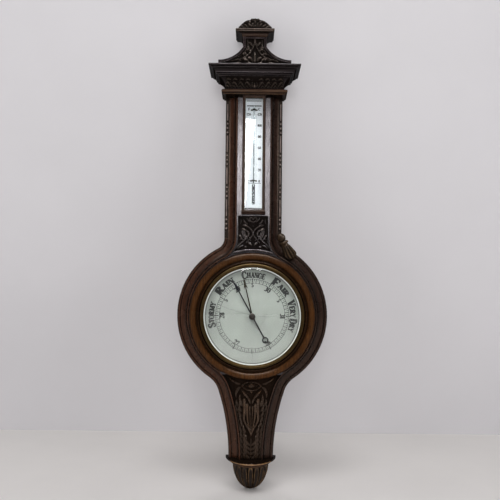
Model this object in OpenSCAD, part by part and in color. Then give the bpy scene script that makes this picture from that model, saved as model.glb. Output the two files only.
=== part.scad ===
// Carved wooden banjo barometer: a boxed thermometer above and an aneroid dial below.
// The front faces -Y, +Z is up and the back lies on the wall plane Y = 0.
// Heights count from the dial's centre, depths from the wall towards the front.
// Every piece is then lowered, so that the origin is the middle of the hanger's hole.

/* [Case outline] */
// Width of the flat land between the dial's ring and the case moulding
land_w = 2.9; // [2:0.1:5]
// Half the width of the trunk
trunk_half_w = 58.5; // [57:0.5:61]
// Radius of the hollow between trunk and round
neck_r = 24; // [18:1:30]
// Dial centre to the top of the trunk
trunk_len = 447; // [435:1:465]
// Dial centre to the end of the tail
tail_len = 286; // [276:1:296]
// Half the width of the tail at its end
tail_half_w = 45; // [43:0.5:48]
// Radius of the tail's long hollow side
tail_side_r = 420; // [390:10:460]
// Radius of the hollow between tail and round
tail_join_r = 50; // [40:1:60]

/* [Case build] */
// Thickness of the back board
board_t = 14; // [13.5:0.5:17]
// Height of the raised panel on the board
panel_t = 14; // [13.5:0.5:16]
// Width of the plain edge outside the cove
edge_w = 7.5; // [7:0.5:8.5]
// Width of the cove moulding
cove_w = 16.5; // [15.5:0.5:18]
// Depth of the beds cut for the carvings
bed_depth = 6; // [5:0.5:7]
// Width of the flat rim around the upper carving
bed_rim = 4; // [3:0.5:6]
// Joint left between glued pieces
glue_gap = 0.15; // [0.05:0.05:0.25]
// Length of one bead-and-reel repeat on the trunk's edges
bead_repeat = 66; // [60:1:72]
// Radius of the small beads on the trunk's edges
bead_r = 3.2; // [2.8:0.1:3.4]

/* [Head] */
// Depth of the frieze's plain lower face
head_front = 37.8; // [36:0.2:40]
// Height of the necking moulding
necking_h = 10.3; // [9:0.1:12]
// Height of the carved frieze
frieze_h = 24.2; // [22:0.2:28]
// Height of the cornice
cornice_h = 18; // [16:0.5:21]
// Overhang of the cornice past the trunk
cornice_reach = 33; // [30:0.5:36]
// Half the width of the pediment
pediment_half_w = 74; // [71:0.5:78]
// Depth of the pediment's front
pediment_front = 42.5; // [40:0.5:46]
// Height of the pediment
pediment_h = 65.5; // [62:0.5:69]
// Height of the pediment's upright ends
pediment_end_h = 17.5; // [15:0.5:19]
// Radius of the pediment's hollow sides
pediment_r = 60; // [58:0.5:62]
// Half the width of the pediment's neck under the cap
pediment_neck = 24; // [22:0.5:26]
// Height of the pediment's cap
cap_h = 14.7; // [13:0.1:16]
// Overhang of the cap at the pediment's sides
cap_reach = 15.4; // [14:0.2:17]
// Overhang of the cap at the pediment's front
cap_lip = 7.5; // [6:0.5:9]
// Height of the carved crest
crest_h = 21.8; // [19:0.2:24]

/* [Dial] */
// Radius of the dial plate
dial_r = 101.2; // [99:0.2:103]
// Thickness of the dial plate
dial_t = 3; // [2.4:0.2:3.6]
// Clear height between dial and glass
glass_gap = 6.8; // [6.6:0.1:8]
// Thickness of the bevelled glass
glass_t = 3; // [2.4:0.2:4]
// Wall of the brass bezel
bezel_wall = 2.8; // [2.2:0.2:3.4]
// Reach of the bezel's lip over the glass
bezel_lip = 4.4; // [3.6:0.2:5]
// Width of the turned wooden ring
ring_w = 21.5; // [20:0.5:23]
// Height of the turned wooden ring
ring_h = 15; // [13:0.5:18]
// Length of the pressure hand from the arbor
pressure_len = 79; // [72:1:86]
// Resting angle of the pressure hand from the top
pressure_deg = -29; // [-80:1:80]
// Length of the set hand from its spindle
set_len = 82; // [74:1:88]
// Resting angle of the set hand from the top
set_deg = -13.4; // [-80:0.2:80]
// Radius of the knob on the glass
knob_r = 6.4; // [5.4:0.2:8]

/* [Movement] */
// Radius of the movement's pan
pan_r = 62; // [61:0.5:64]
// Depth of the pan
pan_depth = 26; // [25.5:0.25:27]
// Radius of the vacuum capsule
capsule_r = 27; // [24:0.5:28]
// Height of the vacuum capsule
capsule_h = 8; // [7.6:0.1:8.2]
// Height of the rocking shaft above the dial's centre
rocker_z = 50; // [49:0.2:51]
// Length of the rocking shaft's short arm
short_arm = 5; // [4.6:0.1:5.4]
// Radius of the chain drum on the arbor
drum_r = 1.65; // [1.5:0.05:1.8]
// Turns of the hairspring
hair_turns = 4; // [3:1:4]

/* [Thermometer] */
// Half the width of the thermometer's box
box_half_w = 23.3; // [22.5:0.1:25]
// Length of the thermometer's box
box_len = 235; // [228:1:236]
// Width of the box's stiles
stile_w = 5.8; // [5.4:0.1:6.6]
// Height of the box above the panel
box_h = 9; // [8.6:0.1:11]
// Height of the sill under the box
sill_h = 7; // [6:0.2:7.4]
// Radius of the thermometer's tube
tube_r = 2.6; // [2.2:0.1:2.8]
// Radius of the thermometer's bulb
bulb_r = 3.3; // [3:0.1:3.5]
// Length of the thermometer's bulb
bulb_len = 41; // [34:1:46]

/* [Base] */
// Radius of the half-round shelf
shelf_r = 51; // [49:0.5:56]
// Thickness of the shelf
shelf_h = 11; // [10:0.5:13]
// Radius of the boss under the shelf
boss_r = 38; // [35:0.5:41]
// Height of the boss
boss_h = 54; // [48:1:60]

/* [Hanger] */
// Radius of the hanger's hole
hanger_r = 4; // [3:0.25:5]
// Thickness of the hanger plate
hanger_t = 2; // [1.6:0.1:2.4]
// Half the width of the hanger plate
hanger_half_w = 12; // [10:0.5:14]
// Half the height of the hanger plate
hanger_half_h = 23; // [20:0.5:25]

/* [Hidden] */
$fn = 64;

// Colours of the finishes
dark_oak = [0.16, 0.09, 0.06];
brown_oak = [0.26, 0.14, 0.08];
ring_oak = [0.42, 0.2, 0.09];
brass = [0.62, 0.5, 0.24];
steel = [0.5, 0.5, 0.52];
black_steel = [0.06, 0.06, 0.08];
dial_white = [0.85, 0.86, 0.82];
clear = [0.8, 0.88, 0.88, 0.35];

// Running clearances and small shared sizes
run_fit = 0.05;
drop_fit = 0.3;
eps = 0.01;
big = 400;

// Levels of the case
panel_f = board_t + panel_t;
inset = edge_w + cove_w;
tail_bed = board_t + bed_depth;
upper_bed = panel_f - bed_depth;
frieze_z = trunk_len + necking_h;
cornice_z = frieze_z + frieze_h;
pediment_z = cornice_z + cornice_h;
hollow_z = pediment_z + pediment_end_h + pediment_r;
cap_z = pediment_z + pediment_h;
crest_z = cap_z + cap_h;
hang_z = trunk_len + necking_h + frieze_h + 2.5;

// Levels and radii of the dial
flange_t = 1;
dial_b = panel_f + flange_t;
dial_f = dial_b + dial_t;
glass_b = dial_f + glass_gap;
glass_f = glass_b + glass_t;
sight_w = 3.6;
glass_hole_r = 2.6;
bezel_in = dial_r + drop_fit;
bezel_out = bezel_in + bezel_wall;
bezel_f = glass_f + 1.6;
ring_in = bezel_out + drop_fit;
ring_out = ring_in + ring_w;
hand_b = dial_f + 1.8;
hand_t = 1;
hub_f = hand_b + 1.6;
set_b = hub_f + 0.8;
set_t = 0.8;

// Radius of the round body and hollow centres of the case outline
round_r = ring_out + land_w + inset;
neck_c = [trunk_half_w + neck_r, sqrt(pow(round_r + neck_r, 2) - pow(trunk_half_w + neck_r, 2))];
tail_side_c = [tail_half_w + tail_side_r, -tail_len];
tail_join_c = lower_meeting(tail_side_c, round_r + tail_join_r, tail_side_r - tail_join_r);
neck_deg = atan2(neck_c.y, neck_c.x);
tail_deg = atan2(tail_join_c.y, tail_join_c.x);
join_deg = atan2(tail_join_c.y - tail_side_c.y, tail_join_c.x - tail_side_c.x);

// Tassel on the right shoulder: from the foot of the trunk down along the round
tassel_turn = 7.5;
tassel_w = 0.583 * inset;
tassel_top = [trunk_half_w - 4.5, neck_c.y + 9.4];
tassel_end = (round_r - 0.52 * inset) * [cos(neck_deg - tassel_turn), sin(neck_deg - tassel_turn)];
tassel_deg = atan2(tassel_end.y - tassel_top.y, tassel_end.x - tassel_top.x);
tassel_len = norm(tassel_end - tassel_top);

// Levels and places of the movement
pan_wall = 1;
pan_back = dial_b - pan_depth;
plate_b = pan_back + pan_wall;
plate_f = plate_b + 2;
plate_r = pan_r - 4;
capsule_b = plate_f + 1;
capsule_f = capsule_b + capsule_h;
spring_b = plate_f + 11;
spring_t = 1.2;
spring_f = spring_b + spring_t;
spring_foot_h = 1.2;
flex_z = -34;
flex_r = (spring_f - plate_f - spring_foot_h) / 2;
flex_w = spring_f - flex_r;
lever_t = 1.5;
lever_f = spring_f + lever_t;
rocker_w = plate_f + 8;
shaft_r = 0.8;
short_z = rocker_z - short_arm;
cock_b = plate_f + 15;
cock_t = 1.4;
cock_f = cock_b + cock_t;
drum_b = cock_f + 0.6;
drum_h = 1.8;
chain_w = drum_b + drum_h / 2;
chain_t = 0.6;
chain_x = drum_r + 0.35;
hair_b = drum_b + drum_h + 0.8;
hair_h = 0.8;
collet_r = 1.8;
hair_t = 0.35;
hair_pitch = 1.4;
hair_out = collet_r + hair_t + hair_turns * hair_pitch;
pillar_x = 36;
pillar_r = 2.5;
ear_x = 16;
ear_t = 1.6;
adjust_z = -45;
adjust_r = 1.9;

// Places of the thermometer
box_z = trunk_len - glue_gap - box_len;
box_f = panel_f + box_h;
pane_half_w = box_half_w - stile_w;
rebate = 1.4;
box_glass_t = 2;
box_glass_f = box_f - 1.8;
scale_b = upper_bed;
scale_t = 2.4;
tube_w = scale_b + scale_t + bulb_r + 0.1;
bulb_z = box_z + 13;
tube_top = box_z + box_len - 20;
column_top = bulb_z + bulb_len + 0.52 * (tube_top - bulb_z - bulb_len);

// Fields of the carvings
ring_rim = bed_rim + 4;
upper_low = ring_out + ring_rim;
upper_top = box_z - sill_h - 3;
upper_half_w = trunk_half_w - inset - bed_rim;
tail_top = -0.933 * ring_out;
tail_field_w = tail_half_w - inset;
border_w = 5;
pediment_bed = pediment_front - bed_depth + 2;

// Lower right point where a circle about the origin meets a circle about c
function lower_meeting(c, r0, r1) =
    let (d = norm(c), a = (r0 * r0 - r1 * r1 + d * d) / (2 * d), h = sqrt(r0 * r0 - a * a))
    [c.x * a / d + c.y * h / d, c.y * a / d - c.x * h / d];

// Point on a leaf's bent spine at the share s of its length
function spine(leaf, s) =
    let (h = leaf[2], l = leaf[3], b = leaf[4], r = b == 0 ? 0 : l * 180 / (PI * b))
    b == 0 ? [leaf[0] + s * l * cos(h), leaf[1] + s * l * sin(h)]
    : [leaf[0] + r * (sin(h + b * s) - sin(h)), leaf[1] + r * (cos(h) - cos(h + b * s))];

// Half width and rise of a leaf along its spine
function leaf_width(leaf, s) = max(0.35, leaf[5] * sin(180 * pow(0.06 + 0.9 * s, 0.8)));
function leaf_rise(leaf, s) = leaf[6] * (0.55 + 0.45 * sin(180 * s));

// Three corners of a leaf's cross-section, sunk a little into the bed
function leaf_slice(leaf, s, bed) =
    let (p = spine(leaf, s), d = leaf[2] + leaf[4] * s + 90, w = leaf_width(leaf, s))
    [[p.x + w * cos(d), 0.4 - bed, p.y + w * sin(d)], [p.x - w * cos(d), 0.4 - bed, p.y - w * sin(d)],
        [p.x, -bed - leaf_rise(leaf, s), p.y]];

// Leaves given as shares of a field's half width, height and depth, brought to size
function fitted(forms, low, h, half_w) = [for (f = forms)
    [f[0] * half_w, low + f[1] * h, f[2], f[3] * h, f[4], f[5] * half_w, f[6] * bed_depth]];

// Lowers a piece from the dial's centre to the hanger's hole
module place() {
    translate([0, 0, -hang_z]) children();
}

// Raises a flat outline between two depths
module front(w0, w1) {
    translate([0, -w0, 0]) rotate([90, 0, 0]) linear_extrude(height = w1 - w0) children();
}

// Turns a profile of radius and depth about the dial's axis
module turned() {
    rotate([90, 0, 0]) rotate_extrude() children();
}

// Sweeps a profile about an axis through c, from angle a0 to a1
module arc_sweep(c, a0, a1) {
    translate([c.x, 0, c.y]) rotate([90, 0, 0]) rotate([0, 0, a0]) rotate_extrude(angle = a1 - a0)
        children();
}

// Round bar along the depth, from w0 to w1
module post(x, z, r, w0, w1) {
    translate([x, -w0, z]) rotate([90, 0, 0]) cylinder(r = r, h = w1 - w0);
}

// Box given by its centre line, half width, heights and depths
module slab(half_w, z0, z1, w0, w1) {
    translate([-half_w, -w1, z0]) cube([2 * half_w, w1 - w0, z1 - z0]);
}

// Bent leaf of five ridged lengths
module leaf(form, bed) {
    steps = 5;
    for (i = [0 : steps - 1]) hull() polyhedron(
        concat(leaf_slice(form, i / steps, bed), leaf_slice(form, (i + 1) / steps, bed)),
        [[0, 1, 2], [3, 5, 4], [0, 3, 4, 1], [1, 4, 5, 2], [2, 5, 3, 0]]);
}

// The same leaves on both sides of the centre line
module leaf_pairs(forms, bed) {
    for (s = [0, 1]) mirror([s, 0, 0]) for (f = forms) leaf(f, bed);
}

// Outline of the case, drawn in from its edge, between two heights
module case_outline(by, low, high) {
    neck = [cos(neck_deg), sin(neck_deg)] * (round_r - by);
    join = [cos(tail_deg), sin(tail_deg)] * (round_r - by);
    side = tail_side_c + [cos(join_deg), sin(join_deg)] * (tail_side_r + by);
    trunk = trunk_half_w - by;
    tail = tail_half_w - by;
    circle(r = round_r - by);
    translate([-trunk, neck_c.y]) square([2 * trunk, high - neck_c.y]);
    difference() {
        polygon([[0, 0], neck, [trunk, neck_c.y], [-trunk, neck_c.y], [-neck.x, neck.y]]);
        for (s = [-1, 1]) translate([s * neck_c.x, neck_c.y]) circle(r = neck_r + by);
    }
    difference() {
        polygon([[0, 0], join, side, [-side.x, side.y], [-join.x, join.y]]);
        for (s = [-1, 1]) translate([s * tail_join_c.x, tail_join_c.y]) circle(r = tail_join_r + by);
    }
    difference() {
        polygon([side, [tail, low], [-tail, low], [-side.x, side.y]]);
        for (s = [-1, 1]) translate([s * tail_side_c.x, tail_side_c.y]) circle(r = tail_side_r + by);
    }
}

// Moulding with mitred returns: a profile of overhang and height round the front and both ends
module mitred(half_w, depth) {
    intersection() {
        rotate([90, 0, 90]) translate([0, 0, -big / 2]) linear_extrude(height = big)
            mirror([1, 0]) translate([depth, 0]) children();
        front(0, big / 2) for (s = [0, 1]) mirror([s, 0]) intersection() {
            translate([half_w, 0]) children();
            translate([-1, 0]) square(big);
        }
    }
}

// Countersunk screw lying along the depth, its head's face at depth w and its point towards the wall
module sunk_screw(x, z, w, shank_r, head_r, head_h, len) {
    post(x, z, shank_r, w - len, w - head_h + eps);
    translate([x, -w + head_h, z]) rotate([90, 0, 0]) cylinder(r1 = shank_r, r2 = head_r, h = head_h);
}

// Outline of the knotted tassel on the right shoulder
function tassel_half(s) = tassel_w * (
    s < 0.28 ? 0.3 + 0.3 * sin(180 * s / 0.28) :
    s < 0.4 ? 0.4 + 0.214 * sin(180 * (s - 0.28) / 0.12) :
    s < 0.78 ? 0.4 + 0.6 * pow((s - 0.4) / 0.38, 0.8) : sqrt(max(0.02, 1 - pow((s - 0.78) / 0.23, 2))));
module tassel_outline(by) {
    steps = 24;
    function along(i) = tassel_len * i / steps + (i == 0 ? -by : i == steps ? by : 0);
    function side(i) = [along(i), tassel_half(i / steps) + by];
    translate(tassel_top) rotate(tassel_deg) polygon(concat(
        [for (i = [0 : steps]) side(i)], [for (i = [steps : -1 : 0]) [side(i).x, -side(i).y]]));
}
module tassel_notch() {
    front(board_t - 1, panel_f + 1) tassel_outline(drop_fit);
}

// Flat banjo board behind everything, with a tongue that holds the pediment
module back_board() {
    tongue = 20;
    color(dark_oak) place() difference() {
        union() {
            front(0, board_t) case_outline(0, -tail_len, pediment_z);
            slab(tongue, pediment_z, cap_z - 1, 0, board_t);
        }
        post(0, 0, pan_r + drop_fit, -1, board_t + 1);
        translate([0, 0, hang_z]) {
            slab(hanger_half_w + glue_gap, -hanger_half_h - glue_gap, hanger_half_h + glue_gap,
                -1, hanger_t);
            post(0, 0, hanger_r + 4, 0, board_t - 3);
            for (s = [-1, 1]) post(0, s * (hanger_half_h - 6), 1.6 + run_fit, 0, 11.5);
        }
    }
}

// Field of the upper carving: the panel's outline drawn in, above the dial's ring
module upper_field(by) {
    difference() {
        case_outline(inset + bed_rim + by, -tail_len, upper_top - by);
        circle(r = upper_low + by);
        translate([-big / 2, -big]) square([big, big]);
    }
}

// Field of the tail's carving: between the mouldings, below the dial's ring
module tail_field(by) {
    difference() {
        case_outline(inset + by + 0.2, -tail_len + 2 * by, 0);
        circle(r = ring_out + by);
        translate([-big / 2, tail_top]) square([big, big]);
    }
}

// Raised field that carries the dial, the thermometer and the upper carving.
// The tail's thinner board is coped to the round with a glued joint.
module raised_panel() {
    color(dark_oak) place() difference() {
        front(board_t, panel_f)
            case_outline(inset + glue_gap, -tail_len + glue_gap, trunk_len - glue_gap);
        front(board_t - 1, panel_f + 1) difference() {
            circle(r = round_r - inset);
            circle(r = round_r - inset - glue_gap);
            translate([-big / 2, 0]) square(big);
        }
        post(0, 0, pan_r + drop_fit, board_t - 1, panel_f + 1);
        for (a = [30, 150, 270]) rotate([0, -a, 0])
            post((pan_r + dial_r) / 2, 0, 1.6 + run_fit, panel_f - 10, panel_f + 1);
        front(upper_bed, panel_f + 1) upper_field(0);
        front(tail_bed, panel_f + 1) difference() {
            translate([-big / 2, -tail_len - 1]) square([big, tail_len + 1]);
            circle(r = ring_out);
            translate([-big / 2, tail_top]) square([big, big]);
        }
        slab(pane_half_w + rebate, box_z + 6, box_z + box_len - 3, scale_b, panel_f + 1);
    }
}

// Profile of the case moulding: overhang from the edge across, depth up
module frame_profile(with_edge) {
    cove_r = min(cove_w - 4, panel_t - 1);
    difference() {
        translate([edge_w, board_t]) square([cove_w, panel_t]);
        translate([edge_w + 1.5, panel_f + 1]) circle(r = cove_r);
    }
    if (with_edge) {
        translate([0.6, board_t]) square([edge_w, 1.2]);
        intersection() {
            translate([bead_r + 0.8, board_t + 0.4]) circle(r = bead_r - 0.4);
            translate([0, board_t]) square(edge_w);
        }
    }
}

// One side of the case moulding, in five lengths with glued butt joints, with or without the tassel's notch
module frame_run(notched) {
    neck_cut = glue_gap / (neck_r + inset / 2) * 90 / PI;
    round_cut = glue_gap / (round_r - inset / 2) * 90 / PI;
    join_cut = glue_gap / (tail_join_r + inset / 2) * 90 / PI;
    side_cut = glue_gap / tail_side_r * 90 / PI;
    low = neck_c.y + glue_gap / 2;
    difference() {
        translate([trunk_half_w, 0, low]) linear_extrude(height = trunk_len - glue_gap - low)
            rotate(180) frame_profile(false);
        if (notched) tassel_notch();
    }
    difference() {
        arc_sweep(neck_c, 180 + neck_cut, 180 + neck_deg - neck_cut) translate([neck_r, 0])
            frame_profile(true);
        if (notched) tassel_notch();
    }
    difference() {
        arc_sweep([0, 0], tail_deg + round_cut, neck_deg - round_cut) translate([round_r, 0])
            mirror([1, 0]) frame_profile(true);
        if (notched) tassel_notch();
    }
    arc_sweep(tail_join_c, 180 + tail_deg + join_cut, join_deg - join_cut) translate([tail_join_r, 0])
        frame_profile(true);
    arc_sweep(tail_side_c, join_deg + side_cut, 180 - 2 * side_cut) translate([tail_side_r, 0])
        frame_profile(true);
}
module left_frame_moulding() {
    color(brown_oak) place() mirror([1, 0, 0]) frame_run(false);
}
module right_frame_moulding() {
    color(brown_oak) place() frame_run(true);
}

// Bead-and-reel strip along the trunk: long rods between groups of three beads
module bead_run() {
    low = neck_c.y + glue_gap;
    high = trunk_len - glue_gap;
    rod_half = 0.26 * bead_repeat;
    bead_step = 0.14 * bead_repeat;
    first = neck_c.y + 0.94 * bead_repeat;
    count = floor((high - first) / bead_repeat + 0.5);
    at_x = trunk_half_w - edge_w / 2;
    base_h = 2.2;
    translate([trunk_half_w - edge_w + glue_gap, -board_t - base_h, low])
        cube([edge_w - glue_gap, base_h, high - low]);
    intersection() {
        translate([trunk_half_w - edge_w, -board_t - 3 * bead_r, low])
            cube([edge_w, 3 * bead_r, high - low]);
        for (i = [0 : count]) translate([at_x, -board_t - base_h, first + i * bead_repeat]) {
            translate([0, 0, -rod_half]) cylinder(r = bead_r - 0.3, h = 2 * rod_half);
            for (k = [-1 : 1]) translate([0, 0, k * bead_step - bead_repeat / 2]) sphere(r = bead_r);
        }
    }
}
module left_bead_strip() {
    color(brown_oak) place() mirror([1, 0, 0]) bead_run();
}
module right_bead_strip() {
    color(brown_oak) place() difference() {
        bead_run();
        tassel_notch();
    }
}

// Leaves trimmed to their field
module trimmed(bed) {
    intersection() {
        front(bed - 1, bed + big / 10) children(0);
        children(1);
    }
}

// Acanthus panel between thermometer and dial
module upper_carving() {
    bed = upper_bed + 1;
    stem = [[0, 0.18, 90, 0.5, 0, 0.08, 0.67]];
    leaves = [
        [0, 0.5, 60, 0.43, -30, 0.11, 0.83], [0.03, 0.47, 34, 0.37, -48, 0.11, 0.92],
        [0.03, 0.41, 2, 0.4, -55, 0.125, 0.83], [0.03, 0.35, -46, 0.66, 26, 0.145, 0.92],
        [0.07, 0.26, -62, 0.19, -30, 0.09, 0.75], [0, 0.69, 62, 0.21, 88, 0.056, 0.75]
    ];
    h = upper_top - upper_low;
    color(brown_oak) place() {
        front(upper_bed, bed) upper_field(glue_gap);
        trimmed(bed) {
            upper_field(glue_gap);
            union() {
                leaf(fitted(stem, upper_low, h, upper_half_w)[0], bed);
                leaf_pairs(fitted(leaves, upper_low, h, upper_half_w), bed);
            }
        }
    }
}

// Carved tail: a rosette in an oval, a fluted palmette and upright reeds
module lower_carving() {
    bed = tail_bed + 1;
    h = tail_len - ring_out;
    reed = 0.25;
    middle = concat([for (k = [0 : 5]) [0, 0.907, 30 + 60 * k, 0.053, 0, 0.13, 1]],
        [[0, 0.3, 90, 0.44, 0, 0.12, 1.08], [0, 0.02, 90, reed, 0, 0.124, 0.67]]);
    leaves = [
        [1.05, 0.907, 145, 0.163, 70, 0.07, 0.75], [1.05, 0.907, -145, 0.163, -70, 0.07, 0.75],
        [0.43, 0.957, 6, 0.194, 8, 0.143, 0.83], [0.07, 0.313, 83, 0.413, -5, 0.114, 1.08],
        [0.14, 0.33, 75, 0.363, -9, 0.114, 1], [0.19, 0.356, 66, 0.28, -16, 0.114, 0.92],
        [0.31, 0.02, 90, reed, 0, 0.114, 0.67], [0.62, 0.02, 90, reed, 0, 0.114, 0.67]
    ];
    color(brown_oak) place() {
        front(tail_bed, bed) tail_field(glue_gap);
        trimmed(bed) {
            tail_field(glue_gap);
            union() {
                for (f = fitted(middle, -tail_len, h, tail_field_w)) leaf(f, bed);
                leaf_pairs(fitted(leaves, -tail_len, h, tail_field_w), bed);
            }
        }
    }
}

// Knotted tassel applied to the right shoulder, with a fluted skirt
module shoulder_carving() {
    rings = 24;
    sides = 20;
    flutes = 5;
    function high(s) = panel_t * (s < 0.28 ? 1.07 : s < 0.4 ? 1.21 : 1.29 - 0.29 * (s - 0.4));
    function point(i, j) =
        let (s = i / rings, a = 180 * j / sides, h = tassel_half(s),
            f = s < 0.4 ? 0 : 0.16 * (s - 0.4) / 0.6,
            k = 1 - f * (0.5 + 0.5 * cos(360 * flutes * j / sides)))
        [tassel_len * s, h * cos(a), min(high(s), 0.36 * panel_t + 1.1 * h) * sin(a) * k + 0.02];
    low = [for (i = [0 : rings]) for (j = [0 : sides]) point(i, j)];
    n = sides + 1;
    skin = [for (i = [0 : rings - 1]) for (j = [0 : sides - 1])
        [i * n + j, i * n + j + 1, (i + 1) * n + j + 1, (i + 1) * n + j]];
    back = [for (i = [0 : rings - 1]) [i * n, (i + 1) * n, (i + 1) * n + sides, i * n + sides]];
    ends = [[for (j = [sides : -1 : 0]) j], [for (j = [0 : sides]) rings * n + j]];
    color(brown_oak) place() translate([tassel_top.x, -board_t, tassel_top.y]) rotate([90, 0, 0])
        rotate([0, 0, tassel_deg]) polyhedron(low, concat(skin, back, ends));
}

// Turned ring round the dial: a broad round, a quirk and a small bead
module dial_ring() {
    bead = 2.6;
    round_w = ring_w - 2 * bead - 2.4;
    mid = ring_out - round_w / 2;
    low_h = ring_h - round_w / 2 + 1.4;
    color(ring_oak) place() turned() {
        translate([ring_in, panel_f]) square([ring_w, low_h - 1.6]);
        translate([ring_in + 0.4, panel_f]) square([2 * bead, low_h + 0.6]);
        translate([ring_in + 0.4 + bead, panel_f + low_h + 0.6]) circle(r = bead - 0.2);
        intersection() {
            translate([mid, panel_f + low_h - 1.4]) circle(r = round_w / 2);
            translate([mid - round_w / 2, panel_f]) square([round_w, ring_h + 2]);
        }
    }
}

// Half-round necking under the frieze
module necking_moulding() {
    fillet = 4.2;
    bead = (necking_h - 2.4) / 2;
    color(brown_oak) place() difference() {
        translate([0, 0, trunk_len]) mitred(trunk_half_w, head_front) {
            translate([-big / 4, 0]) square([big / 4 + fillet, necking_h - glue_gap]);
            translate([fillet, 1.7 + bead]) circle(r = bead);
        }
        slab(trunk_half_w + glue_gap, trunk_len - 1, frieze_z + 1, -1, board_t + glue_gap);
    }
}

// Hollow frieze that carries the leaf carving
module frieze() {
    reach = 14;
    hollow = (reach * reach + pow(frieze_h - 3, 2)) / (2 * reach);
    color(dark_oak) place() difference() {
        translate([0, 0, frieze_z]) mitred(trunk_half_w, head_front) difference() {
            translate([-big / 4, 0]) square([big / 4 + reach, frieze_h - glue_gap]);
            translate([hollow, 3]) circle(r = hollow);
        }
        slab(trunk_half_w + glue_gap, frieze_z - 1, cornice_z + 1, -1, board_t + glue_gap);
    }
}

// Band of a moulding's profile with a half-round nose, out to a reach and between two heights
module nosed(reach, low, high) {
    r = (high - low) / 2;
    translate([-big / 4, low]) square([big / 4 + reach - r, high - low]);
    translate([reach - r, low + r]) circle(r = r);
}

// Cornice: a round band, a hollow and two stepped round fillets
module cornice() {
    band = 0.54 * cornice_reach;
    step = 0.86 * cornice_reach;
    band_h = 0.21 * cornice_h;
    step_z = 0.62 * cornice_h;
    top_z = 0.74 * cornice_h;
    hollow = step_z - band_h;
    color(dark_oak) place() difference() {
        translate([0, 0, cornice_z]) mitred(trunk_half_w, head_front) {
            translate([-big / 4, 0]) square([big / 4 + band - band_h / 2, cornice_h - glue_gap]);
            nosed(band, 0, band_h);
            nosed(step, step_z, top_z);
            nosed(cornice_reach, top_z, cornice_h - glue_gap);
            difference() {
                translate([0, band_h + eps]) square([step - 1.5, hollow + eps]);
                translate([step - 1, band_h]) circle(r = hollow - 0.4);
            }
        }
        slab(trunk_half_w + glue_gap, cornice_z - 1, pediment_z + 1, -1, board_t + glue_gap);
    }
}

// Outline of the pediment with its hollow sides drawn in
module pediment_outline(by, low, high) {
    difference() {
        translate([by - pediment_half_w, low]) square([2 * (pediment_half_w - by), high - low]);
        for (s = [-1, 1]) translate([s * pediment_half_w, hollow_z]) circle(r = pediment_r + by);
    }
    translate([by - pediment_neck, hollow_z - pediment_r])
        square([2 * (pediment_neck - by), high - hollow_z + pediment_r]);
}

// Sunk field inside the pediment's border
module pediment_field(by) {
    pediment_outline(border_w + by, pediment_z + border_w + by, cap_z - border_w + 1 - by);
}

// Pediment block with a raised border round a sunk field
module pediment_panel() {
    color(dark_oak) place() difference() {
        front(board_t + glue_gap, pediment_front) pediment_outline(0, pediment_z, cap_z - glue_gap);
        front(pediment_bed, pediment_front + 1) pediment_field(0);
        front(pediment_front - 1, pediment_front + 1) difference() {
            pediment_outline(1.6, pediment_z + 1.6, cap_z + 1);
            pediment_outline(3, pediment_z + 3, cap_z - 2);
        }
    }
}

// Diverging stems and leaves in the pediment's field
module pediment_carving() {
    bed = pediment_bed + 0.6;
    h = cap_z - pediment_z;
    stem = [[0, 0.145, 90, 0.47, 0, 0.036, 0.83]];
    leaves = [
        [0.02, 0.89, -76, 0.91, 38, 0.025, 0.83], [0.15, 0.49, -8, 0.49, -38, 0.041, 0.83],
        [0.22, 0.2, 2, 0.47, -10, 0.03, 0.75], [0.014, 0.22, 52, 0.31, -60, 0.03, 0.75],
        [0.11, 0.64, 64, 0.236, -30, 0.027, 0.67]
    ];
    color(brown_oak) place() {
        front(pediment_bed, bed) pediment_field(glue_gap);
        trimmed(bed) {
            pediment_field(glue_gap);
            union() {
                leaf(fitted(stem, pediment_z, h, pediment_half_w)[0], bed);
                leaf_pairs(fitted(leaves, pediment_z, h, pediment_half_w), bed);
            }
        }
    }
}

// Profile of the cap from its underside up: a fillet, a hollow, a bead and a round-nosed band
function cap_profile(reach, core) = let (
    fillet = 0.08 * reach, low = 0.16 * cap_h, rise = 0.36 * cap_h, step = 0.78 * reach,
    bead = 0.09 * cap_h, band = low + rise + 2 * bead, top = cap_h - glue_gap, nose = (top - band) / 2)
    concat(
        [[-core, 0], [fillet, 0]],
        [for (a = [0 : 15 : 90]) [step - (step - fillet) * cos(a), low + rise * sin(a)]],
        [for (a = [-60 : 30 : 90]) [step + bead * cos(a), low + rise + bead + bead * sin(a)]],
        [for (a = [-90 : 30 : 90]) [reach - nose + nose * cos(a), band + nose + nose * sin(a)]],
        [[-core, top]]);

// Moulded cap over the pediment, reaching further at the sides than at the front
module pediment_cap() {
    color(dark_oak) place() translate([0, 0, cap_z]) intersection() {
        rotate([90, 0, 90]) translate([0, 0, -big / 2]) linear_extrude(height = big) mirror([1, 0])
            translate([pediment_front, 0]) polygon(cap_profile(cap_lip, 2 * pediment_front));
        front(0, big / 2) for (s = [0, 1]) mirror([s, 0])
            translate([pediment_neck, 0]) polygon(cap_profile(cap_reach, pediment_neck + 1));
    }
}

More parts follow.
